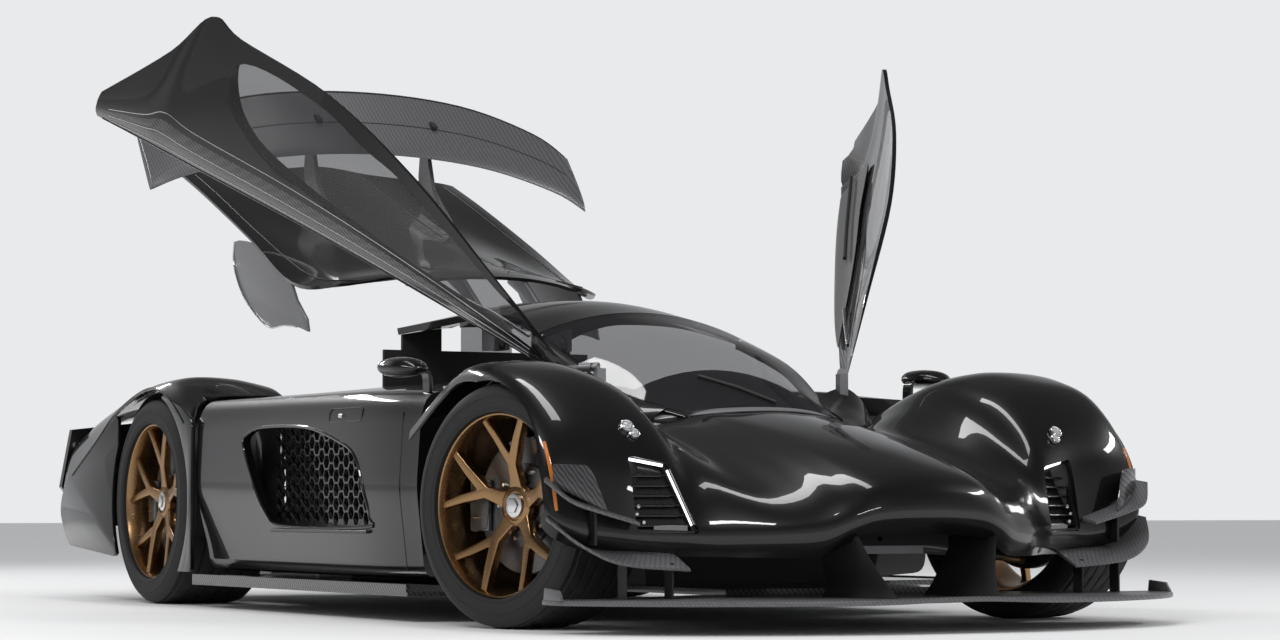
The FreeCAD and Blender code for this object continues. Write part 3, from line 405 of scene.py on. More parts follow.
def look(name, colour, shine, grain, spread, tint=None, bump=None, target="Roughness", fixed=()):
    # shine: metallic, roughness, coat and its roughness; grain: texture and its values, whose 0 to 1 spreads
    # the target input; tint: two colours and their own grain, if any; bump: strength and depth
    material = bpy.data.materials.new(name)
    material.use_nodes = True
    material.diffuse_color = (*colour, 1)
    tree = material.node_tree
    shader = tree.nodes["Principled BSDF"]
    set_inputs(tree, shader, dict(zip(("Metallic", "Roughness", "Coat Weight", "Coat Roughness"), shine)))
    set_inputs(tree, shader, {"Base Color": (*colour, 1), **dict(fixed)})
    value = grain[0](tree, *grain[1:])
    linked = {target: ramp(tree, value, *spread)}
    if tint:
        first, second, *own = tint
        factor = own[0][0](tree, *own[0][1:]) if own else value
        mix = {"Factor": factor, "A": (*first, 1), "B": (*second, 1)}
        linked["Base Color"] = made(tree, "Mix", "Result", mix, data_type="RGBA")
    if bump:
        relief = {"Strength": bump[0], "Distance": bump[1], "Height": value}
        linked["Normal"] = made(tree, "Bump", "Normal", relief)
    set_inputs(tree, shader, linked)
    return material


def paint(name, colour, roughness, coat):
    return look(name, colour, (0.0, roughness, coat, 0.03), (noise, 500.0, 4.0),
                (roughness - 0.06, roughness + 0.08), bump=(0.06, 0.0002))


def glowing(name, colour, strength):
    return look(name, colour, (0.0, 0.2, 1.0, 0.03), (noise, 160.0, 1.0), (strength * 0.85, strength * 1.15),
                target="Emission Strength", fixed={"Emission Color": (*colour, 1)})


def metal(name, colour, roughness, grain=350.0):
    return look(name, colour, (1.0, roughness, 0.0, 0.03), (noise, grain, 5.0),
                (roughness - 0.07, roughness + 0.1), bump=(0.08, 0.0002))


def leather(name, colour):
    return look(name, colour, (0.0, 0.55, 0.0, 0.03), (cells, 420.0), (0.42, 0.68), bump=(0.3, 0.0004))


GLOSS = look("gloss_black", (0.004, 0.004, 0.0045), (0.0, 0.3, 0.9, 0.02), (noise, 900.0, 2.0), (0.24, 0.4),
             fixed={"Specular IOR Level": 0.15})
LAMP_BLACK = paint("lamp_black", (0.008, 0.008, 0.009), 0.25, 0.6)
SKIRT_GREY = paint("skirt_grey", (0.16, 0.16, 0.165), 0.32, 0.4)
CALIPER = paint("caliper_paint", (0.05, 0.045, 0.04), 0.35, 0.5)
LENS_GREY = paint("projector_glass", (0.35, 0.36, 0.38), 0.08, 1.0)
TRIM = paint("door_trim", (0.09, 0.09, 0.092), 0.55, 0.0)
WEAVE = look("carbon_weave", (0.02, 0.02, 0.021), (0.1, 0.35, 0.8, 0.05), (twill, 0.0045), (0.5, 0.28),
             ((0.007, 0.007, 0.008), (0.055, 0.055, 0.058)), (0.25, 0.0003))
SATIN = look("satin_black", (0.016, 0.016, 0.017), (0.0, 0.5, 0.0, 0.03), (noise, 600.0, 4.0), (0.42, 0.6),
             bump=(0.12, 0.0003))
WING_SATIN = look("satin_wing", (0.1, 0.1, 0.104), (0.25, 0.42, 0.3, 0.2), (noise, 30.0), (0.36, 0.5),
                  ((0.085, 0.085, 0.088), (0.125, 0.125, 0.13), (twill, 0.004)))
GLASS = look("smoked_glass", (0.01, 0.01, 0.012), (0.0, 0.03, 0.6, 0.03), (noise, 12.0, 1.0), (0.02, 0.05),
             fixed={"Alpha": 0.5})
WHITE_LIGHT = glowing("daylight_strip", (0.95, 0.97, 1.0), 2.2)
RED_LIGHT = glowing("tail_strip", (0.55, 0.01, 0.01), 0.6)
AMBER = glowing("amber_marker", (0.45, 0.13, 0.01), 0.1)
BRONZE = metal("bronze", (0.34, 0.205, 0.1), 0.27)
ALLOY = metal("cast_alloy", (0.35, 0.35, 0.36), 0.42, 220.0)
BRIGHT = metal("bright_alloy", (0.75, 0.75, 0.76), 0.2)
STEEL = metal("exhaust_steel", (0.42, 0.38, 0.34), 0.3)
DISC = metal("carbon_disc", (0.16, 0.16, 0.165), 0.35, 500.0)
RUBBER = look("tyre_rubber", (0.012, 0.012, 0.012), (0.0, 0.7, 0.0, 0.03), (noise, 420.0, 5.0), (0.6, 0.85),
              ((0.009, 0.009, 0.009), (0.02, 0.02, 0.02)), (0.2, 0.0005))
SEAT_LEATHER = leather("seat_leather", (0.03, 0.03, 0.032))
WHEEL_LEATHER = leather("wheel_leather", (0.014, 0.014, 0.015))


def repainted(names, material, edge=0.0):
    # material for nodes that stay, with eased edges
    for name in names:
        piece = nodes[name]
        slots = piece.data.materials
        if len(slots) == 0:
            slots.append(material)
        for i in range(len(slots)):
            slots[i] = material
        piece.data.shade_smooth()
        piece.data.set_sharp_from_angle(angle=math.radians(30))
        if edge:
            with_modifier(piece, "BEVEL", width=edge * MM, segments=2, limit_method="ANGLE",
                          angle_limit=math.radians(35), harden_normals=True)


repainted(nodes, SATIN)
repainted(["undertray", "diffuser", "sills", "side_meshes"], WEAVE)
repainted(["tub"], SATIN, 3)
repainted(["knuckle_front_left", "knuckle_front_right", "knuckle_rear_left", "knuckle_rear_right",
           "front_subframe", "rear_subframe", "gearbox"], ALLOY, 3)
repainted(["door_hinges", "cover_hinge_brackets"], ALLOY, 1.5)
repainted(["engine_block"], ALLOY, 6)
repainted(["exhaust"], STEEL)
repainted(["tail_lamp"], RED_LIGHT)
repainted(["tail_panel"], GLOSS, 3)
repainted(["dash"], SATIN, 8)
repainted(["steering_wheel"], WHEEL_LEATHER, 4)
repainted(["wiper"], SATIN, 2)
repainted(["headlamp_left", "headlamp_right"], LAMP_BLACK, 1)


def closed_to_stored(name, limit):
    # turn that takes a piece drawn in its closed place to the pose that is stored
    joint = joints[name]
    place = Vector(joint["pos_m"])
    turn = Matrix.Rotation(-math.radians(joint["range_deg"][limit]), 4, Vector(joint["axis"]))
    return Matrix.Translation(place) @ turn @ Matrix.Translation(-place)


DOOR_LEFT = closed_to_stored("door_left_hinge", 1)
DOOR_RIGHT = closed_to_stored("door_right_hinge", 0)
COVER_UP = closed_to_stored("rear_cover_hinge", 0)

# wheel wells
BALL_R = math.hypot(FRONT_TYRE_R, WHEEL_OUTER_Y - TREAD_EDGE - KINGPIN_Y) + WELL_CLEARANCE
ARCH_FROM_Y = 900.0
BESIDE_Y = 1200.0
REAR_WIDTH = 325.0


def front_wells(sides=(1, -1)):
    cutters = []
    x, z = FRONT_AXLE.x * 1000, FRONT_TYRE_R
    for side in sides:
        cutters.append(ball(BALL_R, (x, side * KINGPIN_Y, z)))
        y0, y1 = sorted((side * ARCH_FROM_Y, side * BESIDE_Y))
        cutters.append(drum(FRONT_TYRE_R + WELL_CLEARANCE, x, z, y0, y1))
    return cutters


def rear_well():
    return drum(REAR_TYRE_R + 20, REAR_AXLE.x * 1000, REAR_TYRE_R, WHEEL_OUTER_Y - REAR_WIDTH - 32, BESIDE_Y)


def softened(points, reach, steps=4):
    # closed outline with its corners rounded
    line = []
    count = len(points)
    for i, point in enumerate(points):
        here = Vector(point)
        before, after = Vector(points[i - 1]), Vector(points[(i + 1) % count])
        a = here + (before - here).normalized() * min(reach, (before - here).length * 0.45)
        b = here + (after - here).normalized() * min(reach, (after - here).length * 0.45)
        for k in range(steps + 1):
            t = k / steps
            line.append(tuple(a * (1 - t) ** 2 + here * 2 * t * (1 - t) + b * t * t))
    return line


# front clam: one shell over nose and fenders; columns: y, then points (x, z) from the lip to the rear edge
CLAM = (
    (0, ((2118, 266), (2158, 305), (2166, 352), (2120, 428), (1940, 498), (1700, 556), (1450, 606),
         (1240, 640))),
    (160, ((2106, 260), (2146, 298), (2154, 344), (2106, 416), (1928, 485), (1688, 545), (1440, 596),
           (1228, 630))),
    (240, ((2088, 240), (2126, 276), (2132, 326), (2072, 396), (1900, 463), (1670, 526), (1425, 582),
           (1205, 618))),
    (320, ((2056, 206), (2086, 240), (2090, 300), (2020, 372), (1862, 440), (1640, 508), (1400, 570),
           (1175, 604))),
    (440, ((1990, 203), (2014, 236), (2014, 292), (1935, 370), (1780, 436), (1580, 502), (1340, 560),
           (1115, 592))),
    (560, ((1893, 205), (1913, 240), (1907, 295), (1803, 425), (1655, 530), (1480, 612), (1240, 650),
           (980, 610))),
    (640, ((1845, 205), (1866, 245), (1860, 300), (1775, 488), (1640, 612), (1470, 690), (1210, 722),
           (900, 640))),
    (760, ((1792, 208), (1815, 248), (1812, 305), (1757, 508), (1640, 642), (1480, 727), (1225, 757),
           (850, 655))),
    (900, ((1772, 225), (1798, 265), (1796, 320), (1755, 506), (1640, 644), (1480, 728), (1225, 755),
           (835, 620))),
    (985, ((1755, 262), (1782, 300), (1778, 345), (1742, 490), (1628, 628), (1474, 712), (1222, 738),
           (865, 585))),
    (1012, ((1738, 300), (1764, 330), (1762, 365), (1728, 458), (1605, 590), (1460, 668), (1215, 695),
            (890, 540))),
)
# canopy: columns x, half-width, side height, crown height
WINDSCREEN = ((1236, 255, 622, 646), (1000, 345, 690, 778), (760, 385, 800, 890), (490, 372, 895, 968))
ROOF = ((484, 370, 896, 970), (200, 318, 962, 1022), (-150, 286, 992, 1040), (-400, 295, 985, 1030),
        (-655, 345, 966, 1002))
# headlamp outline seen from the front as (y, z), and three points of its face
LAMP = ((592, 268), (640, 462), (752, 485), (752, 272))
LAMP_FACE = ((1872, 592, 268), (1780, 640, 462), (1812, 752, 272))


def crown_line(half, side, crown, points=17, drop=0.0):
    rise = crown - side
    radius = (half * half + rise * rise) / (2 * rise)
    reach = math.asin(half / radius)
    line = []
    for i in range(points):
        a = -reach + 2 * reach * i / (points - 1)
        line.append(((radius - drop) * math.sin(a), crown - radius + (radius - drop) * math.cos(a)))
    return line


def crown_rows(table, steps=6, drop=0.0):
    return [[(x, y, z) for y, z in crown_line(half, side, crown, drop=drop)]
            for x, half, side, crown in smooth_line(table, steps)]


def above_crown(table, drop):
    # everything above the canopy's face, lowered by the drop
    rows = crown_rows(table, drop=drop)
    return tunnel([row + [(row[-1][0], row[-1][1], 1400), (row[0][0], row[0][1], 1400)] for row in rows])


def lamp_x(y, z):
    a, b, c = (Vector(point) for point in LAMP_FACE)
    normal = (b - a).cross(c - a)
    return a.x - (normal.y * (y - a.y) + normal.z * (z - a.z)) / normal.x


def on_lamp(points, lift):
    # points (y, z) put on the lamp's face, lifted off it along X
    return [(lamp_x(y, z) + lift, y, z) for y, z in points]


def clam():
    half = [[(x, y, z) for x, z in line] for y, line in CLAM]
    other = [[(x, -y, z) for x, z in line] for y, line in CLAM[:0:-1]]
    rows = smooth_grid(other + half, 5, 5)
    piece = thick(grid_piece("front_clam_skin", rows, GLOSS, (1300, 0, 200)), PANEL_WALL)
    cut(piece, front_wells() + [above_crown(WINDSCREEN, GLASS_WALL + 1)])
    lamp = tunnel([on_lamp(softened(LAMP, 14), step) for step in (200, -200)])
    cut(piece, [lamp, mirrored(lamp)])
    finished(piece, "root", ["front_clam"])


clam()


def canopy():
    glass = grid_piece("windscreen_glass", crown_rows(WINDSCREEN), GLASS, (800, 0, 600))
    finished(thick(glass, GLASS_WALL), "root", ["windscreen"])
    shell = thick(grid_piece("roof_skin", crown_rows(ROOF), GLOSS, (0, 0, 700)), ROOF_WALL)
    # slots for the rear cover's arms
    cut(shell, [box(-700, y - 16, 800, -245, y + 16, 1100) for y in (ARM_Y, -ARM_Y)])
    section = ((-4, -GLASS_WALL - 0.3), (16, -9), (10, -40), (-24, -34))
    pillars = []
    for side in (1, -1):
        rows = [[(x, side * (half + out), low + down) for out, down in section]
                for x, half, low, _ in smooth_line(WINDSCREEN, 6)]
        pillars.append(rounded(tunnel(rows, "pillar", GLOSS), 4))
    links = [box(476, side * 370 - 12, 858, 494, side * 370 + 12, 886, "link", GLOSS) for side in (1, -1)]
    finished(joined("roof_spine", [shell] + pillars + links), "root", ["roof"])


canopy()

# doors, closed: x, then five points (y, z) from the roof edge to the shoulder
DOOR = (
    (925, ((500, 775), (506, 772), (515, 768), (525, 760), (532, 748))),
    (600, ((430, 862), (470, 838), (520, 808), (562, 776), (585, 740))),
    (200, ((345, 965), (440, 925), (535, 862), (615, 800), (655, 737))),
    (-200, ((318, 998), (435, 958), (570, 882), (680, 808), (730, 735))),
    (-600, ((368, 978), (490, 943), (635, 888), (755, 818), (812, 732))),
    (-745, ((372, 968), (490, 935), (640, 885), (775, 820), (842, 730))),
    (-820, ((548, 925), (640, 896), (730, 862), (806, 808), (856, 728))),
    (-1040, ((820, 785), (840, 780), (860, 770), (885, 750), (900, 724))),
)
WINDOW = ((840, 793), (700, 830), (600, 850), (400, 905), (180, 955), (0, 972), (-180, 985), (-400, 980),
          (-560, 960), (-520, 925), (-380, 880), (-180, 850), (100, 826), (400, 800), (700, 776), (840, 768))
# trim panel on the door's inner side, seen from the side
CARD = ((690, 738), (560, 752), (300, 778), (0, 802), (-300, 818), (-480, 838), (-600, 850), (-660, 800),
        (-640, 735), (-500, 722), (-200, 716), (200, 718), (500, 724))


def door_grid(table=DOOR, steps=(6, 4)):
    return smooth_grid([[(x, y, z) for y, z in line] for x, line in table], *steps)


def door_line(share, lift=0.0, start=0, end=None):
    # line along the closed door's face at a share of the way from the roof edge to the shoulder
    rows = door_grid()
    line = []
    for row in rows[start:end]:
        place = share * (len(row) - 1)
        k = min(int(place), len(row) - 2)
        a, b = Vector(row[k]), Vector(row[k + 1])
        out = Vector((0, 0.45, 0.89)) if share < 0.5 else Vector((0, 0.78, 0.62))
        line.append(tuple(a.lerp(b, place - k) + out * lift))
    return line


def door_block(outline):
    # block through the closed left door, drawn from the side
    return prism("block", outline, "y", 200, 1000)


def doors():
    skin = grid_piece("door_skin_left", door_grid(), GLOSS, (0, 0, 500))
    skin.data.materials.append(WEAVE)
    across = len(door_grid()[0]) - 1
    for face in skin.data.polygons:
        if face.index % across >= 0.66 * across:
            face.material_index = 1
    outline = smooth_line(WINDOW[1:14], 4) + [WINDOW[14], WINDOW[15], WINDOW[0]]
    cut(thick(skin, SKIN_WALL), [door_block(outline)])
    hinge = Vector(joints["door_left_hinge"]["pos_m"]) * 1000
    along = Vector(joints["door_left_hinge"]["axis"])
    lever = rod([tuple(hinge + Vector((-8, 6, -2))), (905, 512, 756)], 8, ALLOY)
    barrel = rod([tuple(hinge + along * reach) for reach in (-20, 20)], 14, ALLOY, sides=24)
    lines = [rod(door_line(share, 0.6, 3, -2), 1.6, BRIGHT, sides=6) for share in (0.64, 0.78, 0.9)]
    fold = rod(door_line(0.97, 0.5, 2, -1), 2.2, GLOSS, sides=6)
    skin = joined("door_skin_left", [skin, lever, barrel, fold] + lines)
    # panel, pull and strut on the inner side
    inner_rows = [shifted(row[7:], (0, -0.55, -0.83), SKIN_WALL + 6) for row in door_grid()[2:38]]
    card = thick(grid_piece("door_card_left", inner_rows, TRIM, (0, 0, 500)), 7.0)
    rounded(cut(card, [door_block(smooth_line(CARD, 5, closed=True))], "INTERSECT"), 2)
    pull = rod(shifted(door_line(0.8, 0, 14, 27), (0, -0.75, -0.66), 44), 7, WHEEL_LEATHER)
    strut = rod([(760, 500, 778), (610, 520, 768), (470, 555, 762)], 6, BRIGHT)
    card = joined("door_card_left", [card, pull, strut])
    pane = thick(grid_piece("door_pane_left", door_grid(DOOR[:-1]), GLASS, (0, 0, 500)), PANE_WALL)
    cut(pane, [door_block(outline)], "INTERSECT")
    for piece, slot, node in ((skin, "gloss_black", "door_"), (pane, "smoked_glass", "door_glass_"),
                              (card, "satin_black", None)):
        other = mirrored(piece)
        for copy, side, matrix in ((piece, "left", DOOR_LEFT), (other, "right", DOOR_RIGHT)):
            moved(copy, matrix)
            finished(copy, "door_" + side, [node + side] if node else ())


doors()


def door_room(gap=6.0, rabbet=40.0):
    # room below and inside the closed door's lower edge
    first, last = DOOR[0], DOOR[-1]
    rows = []
    for x, line in ((first[0] + 30, first[1]),) + DOOR + ((last[0] - gap - 8, last[1]),):
        y, z = line[-1]
        y += gap
        rows.append([(x, y, z + 90), (x, y, z - rabbet), (x, 300, z - rabbet), (x, 300, z + 90)])
    return tunnel(rows)


# side pods: x, then points (y, z) of the outside, and the duct inside
POD = (
    (770, ((600, 110), (900, 130), (930, 400), (915, 630), (885, 690), (612, 700))),
    (400, ((612, 110), (930, 130), (965, 400), (955, 640), (925, 700), (640, 735))),
    (-400, ((612, 110), (930, 130), (970, 400), (965, 640), (935, 704), (640, 738))),
    (-900, ((612, 110), (930, 130), (990, 400), (985, 640), (950, 708), (640, 738))),
)
POD_DUCT = (
    (740, ((635, 150), (880, 165), (900, 400), (890, 610), (860, 655), (640, 660))),
    (400, ((650, 150), (905, 165), (935, 400), (928, 620), (895, 665), (665, 675))),
    (-400, ((650, 150), (905, 165), (940, 400), (938, 620), (905, 668), (665, 678))),
    (-960, ((650, 150), (905, 165), (960, 400), (955, 620), (920, 672), (665, 678))),
)
MOUTH = ((-520, 545), (-500, 585), (-360, 606), (0, 598), (250, 551), (380, 502), (450, 390), (470, 310),
         (440, 280), (-210, 278), (-350, 323), (-440, 433))
MESH_Y = 846.0


def between(table, steps):
    # sections of a table of x and points (y, z), with that many steps to a span
    flat = [(x,) + tuple(v for point in line for v in point) for x, line in table]
    return [(row[0], list(zip(row[1::2], row[2::2]))) for row in smooth_line(flat, steps)]


def pod_rows(table, reach, steps):
    return [[(x, y, z) for y, z in softened(points, reach)] for x, points in between(table, steps)]


def pod_y(x, z):
    # place of the pod's flank
    points = min(between(POD, 20), key=lambda row: abs(row[0] - x))[1][1:5]
    for (ya, za), (yb, zb) in zip(points, points[1:]):
        if za <= z <= zb:
            return ya + (yb - ya) * (z - za) / (zb - za)
    return points[0][0]


def on_pod(points, lift=0.0):
    # points (x, z) put on the pod's flank
    return [(x, pod_y(x, z) + lift, z) for x, z in points]


def side_pods():
    body = tunnel(pod_rows(POD, 40, 8), "side_pod_skin_left", GLOSS)
    duct = tunnel(pod_rows(POD_DUCT, 24, 4), "duct")
    outline = smooth_line(MOUTH, 4, closed=True)
    mouth = prism("mouth", outline, "y", MESH_Y + 14, 1100)
    reworked(cut(body, [duct, mouth] + front_wells((1,)) + [rear_well(), door_room()]), biggest_shell)
    hatch = softened(((180, 652), (420, 652), (420, 610), (180, 610)), 16)
    ledge = [(x, pod_y(x, 258) - 8, 266) for x in range(-300, 470, 40)]
    pieces = [body, rod(on_pod(outline, -1.5), 6, GLOSS, sides=10, closed=True),
              rod(on_pod([(672, z) for z in range(150, 640, 20)], -0.6), 1.8, SATIN, sides=6),
              rod(on_pod(hatch, -0.6), 1.6, SATIN, sides=6, closed=True),
              rod(on_pod(((262, 628), (286, 628))), 7, BRIGHT),
              ribbon(ledge, 40, 10, (0, 1, 0), WEAVE)]
    pair(joined("side_pod_skin_left", pieces), ["side_pod_left"], ["side_pod_right"])


side_pods()

# rear quarter: columns y, then six points (x, z)
QUARTER = (
    (600, ((-1062, 735), (-1180, 770), (-1320, 780), (-1700, 765), (-2100, 735), (-2330, 695))),
    (720, ((-1052, 735), (-1180, 790), (-1320, 802), (-1700, 780), (-2100, 740), (-2335, 690))),
    (860, ((-1050, 728), (-1180, 790), (-1320, 806), (-1700, 765), (-2080, 705), (-2320, 640))),
    (960, ((-985, 690), (-1160, 765), (-1330, 785), (-1680, 730), (-2000, 650), (-2290, 560))),
    (1008, ((-930, 600), (-1120, 720), (-1330, 765), (-1660, 690), (-1900, 580), (-2250, 420))),
)


def rear_quarters():
    rows = smooth_grid([[(x, y, z) for x, z in line] for y, line in QUARTER], 6, 6)
    panels = [thick(grid_piece("quarter", rows, GLOSS, (-1500, 600, 300)), PANEL_WALL)]
    # flank ahead of the wheel and tail behind it, each with the reach of its rounded corners
    for outline, reach in (
            (((-905, 120), (-905, 640), (-1010, 690), (-1200, 740), (-1200, 120)), 20),
            (((-1650, 690), (-1900, 590), (-2240, 440), (-2300, 330), (-2200, 200), (-1650, 160)), 50)):
        panels.append(prism("flank", softened(outline, reach), "y", 994, 1008, GLOSS))
    pieces = [rounded(cut(piece, [rear_well(), door_room()]), 2) for piece in panels]
    pieces.append(rod(shifted(rows[-1][2:-2], (0, 1, 1)), 3, GLOSS, sides=8))
    left = joined("rear_quarter_skin_left", pieces)
    pair(left, ["rear_quarter_left"], ["rear_quarter_right"])


rear_quarters()

# rear cover, closed: x, then five points (y, z) from the middle to the edge
COVER_EDGE = 588
COVER = (
    (-662, ((0, 1004), (130, 1000), (225, 988), (300, 972), (338, 960))),
    (-765, ((0, 982), (130, 977), (225, 966), (300, 952), (340, 942))),
    (-835, ((0, 962), (180, 952), (330, 928), (450, 902), (508, 880))),
    (-1060, ((0, 915), (200, 895), (360, 860), (500, 830), (COVER_EDGE, 790))),
    (-1500, ((0, 850), (200, 820), (380, 795), (520, 788), (COVER_EDGE, 775))),
    (-2000, ((0, 800), (200, 775), (380, 760), (520, 755), (COVER_EDGE, 745))),
    (-2300, ((0, 770), (200, 748), (380, 735), (520, 728), (COVER_EDGE, 718))),
)
SKIRT = ((-1075, 780), (-1460, 768), (-1640, 700), (-1600, 620), (-1470, 560), (-1300, 545), (-1170, 560),
         (-1060, 618), (-950, 662), (-850, 688), (-885, 722), (-1000, 745))


def rear_cover():
    rows = [[(x, -y, z) for y, z in half[:0:-1]] + [(x, y, z) for y, z in half] for x, half in COVER]
    fine = smooth_grid(rows, 6, 4)
    pieces = [thick(grid_piece("cover", fine, GLOSS, (-1400, 0, 400)), COVER_WALL)]
    x, _, z = (v * 1000 for v in joints["rear_cover_hinge"]["pos_m"])
    arm = ((x - 14, 886), (x + 14, 886), (x + 14, 914), (x - 60, 934), (-668, 990), (-780, 956), (-780, 932),
           (-660, 935))
    skirt = smooth_line(SKIRT[1:10], 4) + [SKIRT[10], SKIRT[11], SKIRT[0]]
    for side in (1, -1):
        y0 = side * ARM_Y - 8
        pieces.append(rounded(prism("arm", arm, "y", y0, y0 + 16, ALLOY), 2))
        pieces.append(drum(20, x, z, y0, y0 + 16, 32, ALLOY))
        y0, y1 = sorted((side * (COVER_EDGE - 4), side * (COVER_EDGE - 16)))
        pieces.append(rounded(prism("skirt", skirt, "y", y0, y1, SKIRT_GREY), 2))
        edge = [(a, side * (COVER_EDGE - 3), b) for a, b in smooth_line(SKIRT[2:9], 4)]
        pieces.append(rod(edge, 3, BRIGHT, sides=8))
        # ribs along the cover's top
        for share in (0.2, 0.8):
            k = int((0.5 + side * share * 0.5) * (len(fine[0]) - 1))
            pieces.append(rod(shifted([row[k] for row in fine[6:-2]], (0, 0, 0.8)), 2.2, SATIN, sides=6))
    cover = moved(joined("rear_cover_skin", pieces), COVER_UP)
    finished(cover, "rear_cover", ["rear_cover"])


rear_cover()

# wing
WING_HALF_SPAN = 905.0
WING_CHORD = 300.0
WING_T = 30.0
WING_LE = (-1745.0, 1040.0)
WING_TIP_DROP = 190.0
WING_ANGLE = math.radians(27.0)


def wing_point(span, drop, share, back, up):
    b, u = back * WING_CHORD * share, up * WING_T
    x = WING_LE[0] - b * math.cos(WING_ANGLE) - u * math.sin(WING_ANGLE)
    z = WING_LE[1] + b * math.sin(WING_ANGLE) + u * math.cos(WING_ANGLE) - WING_TIP_DROP * drop
    return (x, span * WING_HALF_SPAN, z)


def wing():
    # spans: share of the half-span, share of the tip's drop, share of the chord
    spans = smooth_line(((-1.0, 1.0, 0.86), (-0.82, 0.60, 0.95), (-0.45, 0.16, 1.0), (0.0, 0.0, 1.0),
                         (0.45, 0.16, 1.0), (0.82, 0.60, 0.95), (1.0, 1.0, 0.86)), 6)
    section = ((0, 0), (0.03, 0.45), (0.12, 0.72), (0.35, 0.8), (0.7, 0.6), (1, 0.32), (1, 0.14), (0.7, -0.1),
               (0.35, -0.26), (0.12, -0.32), (0.03, -0.2))
    line = smooth_line(section, 3, closed=True)
    blade = tunnel([[wing_point(*at, *spot) for spot in line] for at in spans], "wing_blade", WING_SATIN)
    pieces = [blade, rod([wing_point(*at, 0.42, 0.82) for at in spans[3:-3]], 1.6, SATIN, sides=6),
              rod([wing_point(*at, 1.0, 0.36) for at in spans[1:-1]], 2.5, GLOSS, sides=6)]
    for side in (1, -1):
        tip = [wing_point(side * 0.995, 0.985, 0.87, *spot) for spot in section]
        pieces.append(rod(tip, 2.6, BRIGHT, sides=6, closed=True))
        x, y, z = wing_point(side * 240 / WING_HALF_SPAN, 0.06, 1.0, 0.5, 0.85)
        pieces.append(rounded(box(x - 40, y - 11, z - 8, x + 34, y + 11, z + 6, "foot", SATIN), 3))
    blade = moved(joined("wing_blade", pieces), COVER_UP)
    finished(blade, "rear_cover", ["wing"], angle=50)


wing()
repainted(["wing_struts"], WING_SATIN, 3)


# wheels: end, tyre radius, tyre width, rim radius, depth of the hub behind the lip, axle
WHEELS = (("front", FRONT_TYRE_R, 265.0, 262.0, 58.0, FRONT_AXLE),
          ("rear", REAR_TYRE_R, REAR_WIDTH, 276.0, 34.0, REAR_AXLE))
LIP_Y = WHEEL_OUTER_Y - 10
HUB_R = 62.0
DISC_BACK = 70.0
DISC_R = 195.0
DISC_T = 24.0
TREAD_RIBS = 5
MIDDLE_RIB = 3


def spoke(radius, depth):
    # one forked spoke with eased edges, raked out to the rim
    reach = radius - 17
    side = reach * math.sin(math.pi / 10)
    half = ((27, HUB_R - 14), (21, 0.3 * reach), (17, 0.47 * reach), (0.52 * side + 13, 0.74 * reach),
            (side + 15, 0.985 * reach), (side - 8, reach), (0.5 * side - 9, 0.78 * reach), (6, 0.63 * reach))
    outline = list(half) + [(0, 0.6 * reach)] + [(-a, r) for a, r in half[::-1]]
    face_y = LIP_Y - depth - 4
    bar = rounded(prism("spoke", outline, "y", face_y - 30, face_y, BRONZE), 5, 3, 25)
    rake = (depth - 6) / (reach - HUB_R)
    for vert in bar.data.vertices:
        vert.co.y += max(0, vert.co.z / MM - HUB_R) * rake * MM
    return bar


def rim(radius, width, depth):
    # barrel as depth below the radius and y; hub, nut seat and disc as radius and y off their own face
    inner = -width
    barrel = ((0, -2), (3, 2), (7, 0), (12, -12), (16, -38), (17, inner + 30), (9, inner), (2, inner),
              (0, inner + 8))
    hub = ((0.5, -60), (50, -60), (HUB_R, -22), (HUB_R - 3, -8), (50, -2), (44, 0), (40, -6), (0.5, -6))
    seat = ((12, -4), (34, -4), (34, 1), (30, 3), (12, 3))
    disc = ((72, 0), (DISC_R - 2, 0), (DISC_R, 2), (DISC_R, 9), (DISC_R - 8, 10), (DISC_R - 8, 14),
            (DISC_R, 15), (DISC_R, 22), (DISC_R - 2, DISC_T), (120, DISC_T), (118, 30), (72, 34))
    pieces = [revolved("barrel", [(radius - down, y) for down, y in barrel], BRONZE, 112, y0=LIP_Y)]
    for i in range(5):
        pieces.append(moved(spoke(radius, depth), Matrix.Rotation(2 * math.pi * i / 5, 4, "Y")))
    face = LIP_Y - depth
    disc_y = face - DISC_BACK
    nut = prism("nut", [(24 * c, 24 * s) for c, s in circle(6)], "y", face - 8, face + 10, BRIGHT)
    pieces += [revolved("hub", hub, BRONZE, 72, False, face), rounded(nut, 2.5),
               revolved("nut_seat", seat, BRIGHT, 48, y0=face), revolved("disc", disc, DISC, 96, y0=disc_y)]
    for c, s in circle(10):
        pieces.append(rod([(98 * c, disc_y + out, 98 * s) for out in (30, 40)], 6, BRIGHT, sides=6))
    # valve
    c, s = circle(10)[1]
    valve = [((radius - down) * s, LIP_Y - back, (radius - down) * c) for down, back in ((22, 30), (30, 8))]
    pieces.append(rod(valve, 4, SATIN, sides=8))
    return joined("rim", pieces)


